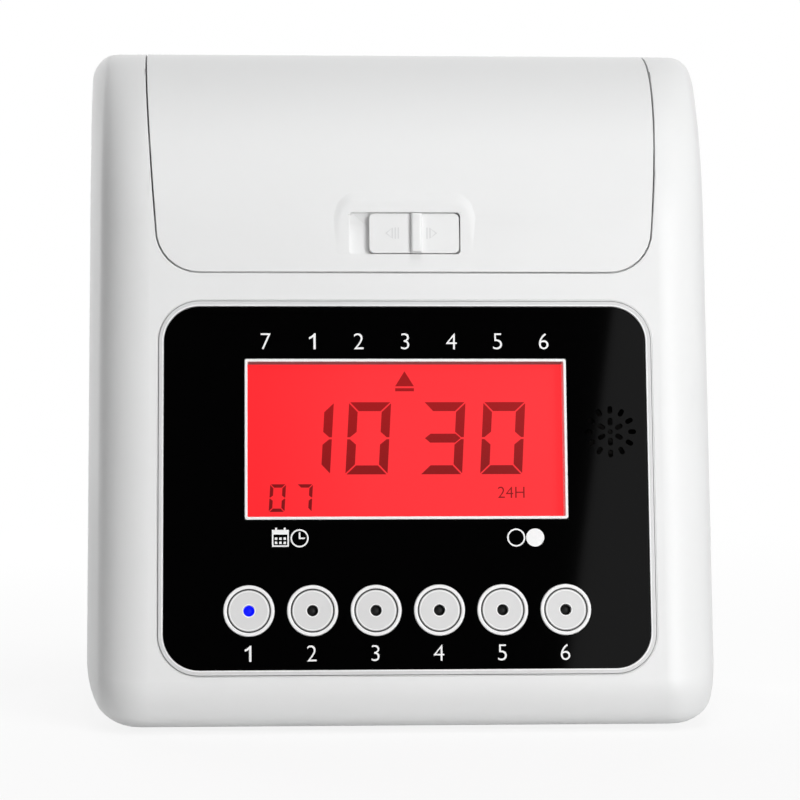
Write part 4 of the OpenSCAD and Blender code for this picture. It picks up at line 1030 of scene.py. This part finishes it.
def addLamp(name, place, aim, size, power, mirrored):
    bpy.ops.object.light_add(type="AREA", location=place)
    lamp = bpy.context.object
    lamp.name = name
    lamp.rotation_euler = (Vector(aim) - Vector(place)).to_track_quat("-Z", "Y").to_euler()
    lamp.data.shape = "SQUARE"
    lamp.data.size = size
    lamp.data.energy = power
    lamp.visible_camera = False
    lamp.visible_glossy = mirrored


# One for the rays that should meet a plain white background
def backdropRays(wire):
    direct = wire.node("LightPath", output="Is Camera Ray")
    glossy = wire.node("LightPath", output="Is Glossy Ray")
    through = wire.node("LightPath", output="Is Transmission Ray")
    return wire.maths("MAXIMUM", direct, wire.maths("MAXIMUM", glossy, through))


# Pale floor: plain white far off, with the shadow kept near the clock
floorSize = dict(across=8.0, dark=0.85, pale=0.87, near=0.15, far=1.0, veil=0.86)


def addFloor():
    bpy.ops.mesh.primitive_plane_add(size=floorSize["across"], location=(0.0, 0.0, 0.0))
    floor = bpy.context.object
    floor.name = "paleFloor"
    finish, wire, place = newFinish("paleFloor")
    tone = wire.blend(noise(wire, place, 3.0), grey(floorSize["dark"]), grey(floorSize["pale"]))
    matte = wire.node("BsdfDiffuse", {}, {"Color": tone})
    glow = wire.node("Emission", {}, {"Color": grey(1.0), "Strength": 1.0})
    away = wire.node("VectorMath", {"operation": "LENGTH"}, {0: place}, "Value")
    plain = wire.node("MapRange", {}, {
        0: away, 1: floorSize["near"], 2: floorSize["far"], 3: floorSize["veil"], 4: 1.0})
    mixed = wire.node("MixShader", {}, {0: plain * backdropRays(wire), 1: matte, 2: glow})
    wire.node("OutputMaterial", {}, {"Surface": mixed})
    wear(floor, finish)


# Faint light from all round, before a white backdrop
studio = dict(air=0.08, backdrop=1.0)


def setWorld():
    world = bpy.data.worlds.new("studio")
    bpy.context.scene.world = world
    world.use_nodes = True
    world.node_tree.nodes.clear()
    wire = Wire(world.node_tree)
    air = wire.node("Background", {}, {"Color": grey(1.0), "Strength": studio["air"]})
    white = wire.node("Background", {}, {"Color": grey(1.0), "Strength": studio["backdrop"]})
    mixed = wire.node("MixShader", {}, {0: backdropRays(wire), 1: air, 2: white})
    wire.node("OutputWorld", {}, {"Surface": mixed})


# Black card that the panel mirrors: deep black on the left, up to a slanting edge
blackFlag = dict(y=-1.3, left=-1.5, low=0.15, top=0.285, tall=0.85)


def addFlag():
    bpy.ops.object.select_all(action="DESELECT")
    bpy.ops.mesh.primitive_plane_add(size=2.0)
    flag = bpy.context.object
    flag.name = "blackFlag"
    for point in flag.data.vertices:
        z = blackFlag["tall"] if point.co.y > 0 else 0.0
        right = blackFlag["top"] if point.co.y > 0 else blackFlag["low"]
        point.co = (right if point.co.x > 0 else blackFlag["left"], blackFlag["y"], z)
    flag.visible_camera = False
    wear(flag, finishes["cone_paper"])


# Soft lamps in metres and watts: name, place, aim, size, power, seen in gloss
clockMiddle = (0.0, 0.0, 0.12)
clockFoot = (0.0, 0.0, 0.03)
studioLamps = [
    ("keyRight", (0.86, -1.4, 0.7), clockMiddle, 0.8, 8.3, True),
    ("topFill", (0.2, -0.6, 1.6), clockMiddle, 0.8, 11.6, False),
    ("lowFill", (0.8, -1.45, 0.1), clockFoot, 0.6, 13.2, True),
    ("rearLeft", (-0.55, 1.3, 0.6), clockMiddle, 0.8, 11.0, False),
    ("rimLeft", (-0.75, 1.2, 0.42), clockMiddle, 0.8, 1.3, True),
    ("rearFill", (0.3, 1.4, 0.9), clockMiddle, 0.8, 6.0, False),
]
addCamera()
addFloor()
addFlag()
setWorld()
for lamp in studioLamps:
    addLamp(*lamp)
bpy.context.scene.view_settings.view_transform = "Standard"
print("stage set")
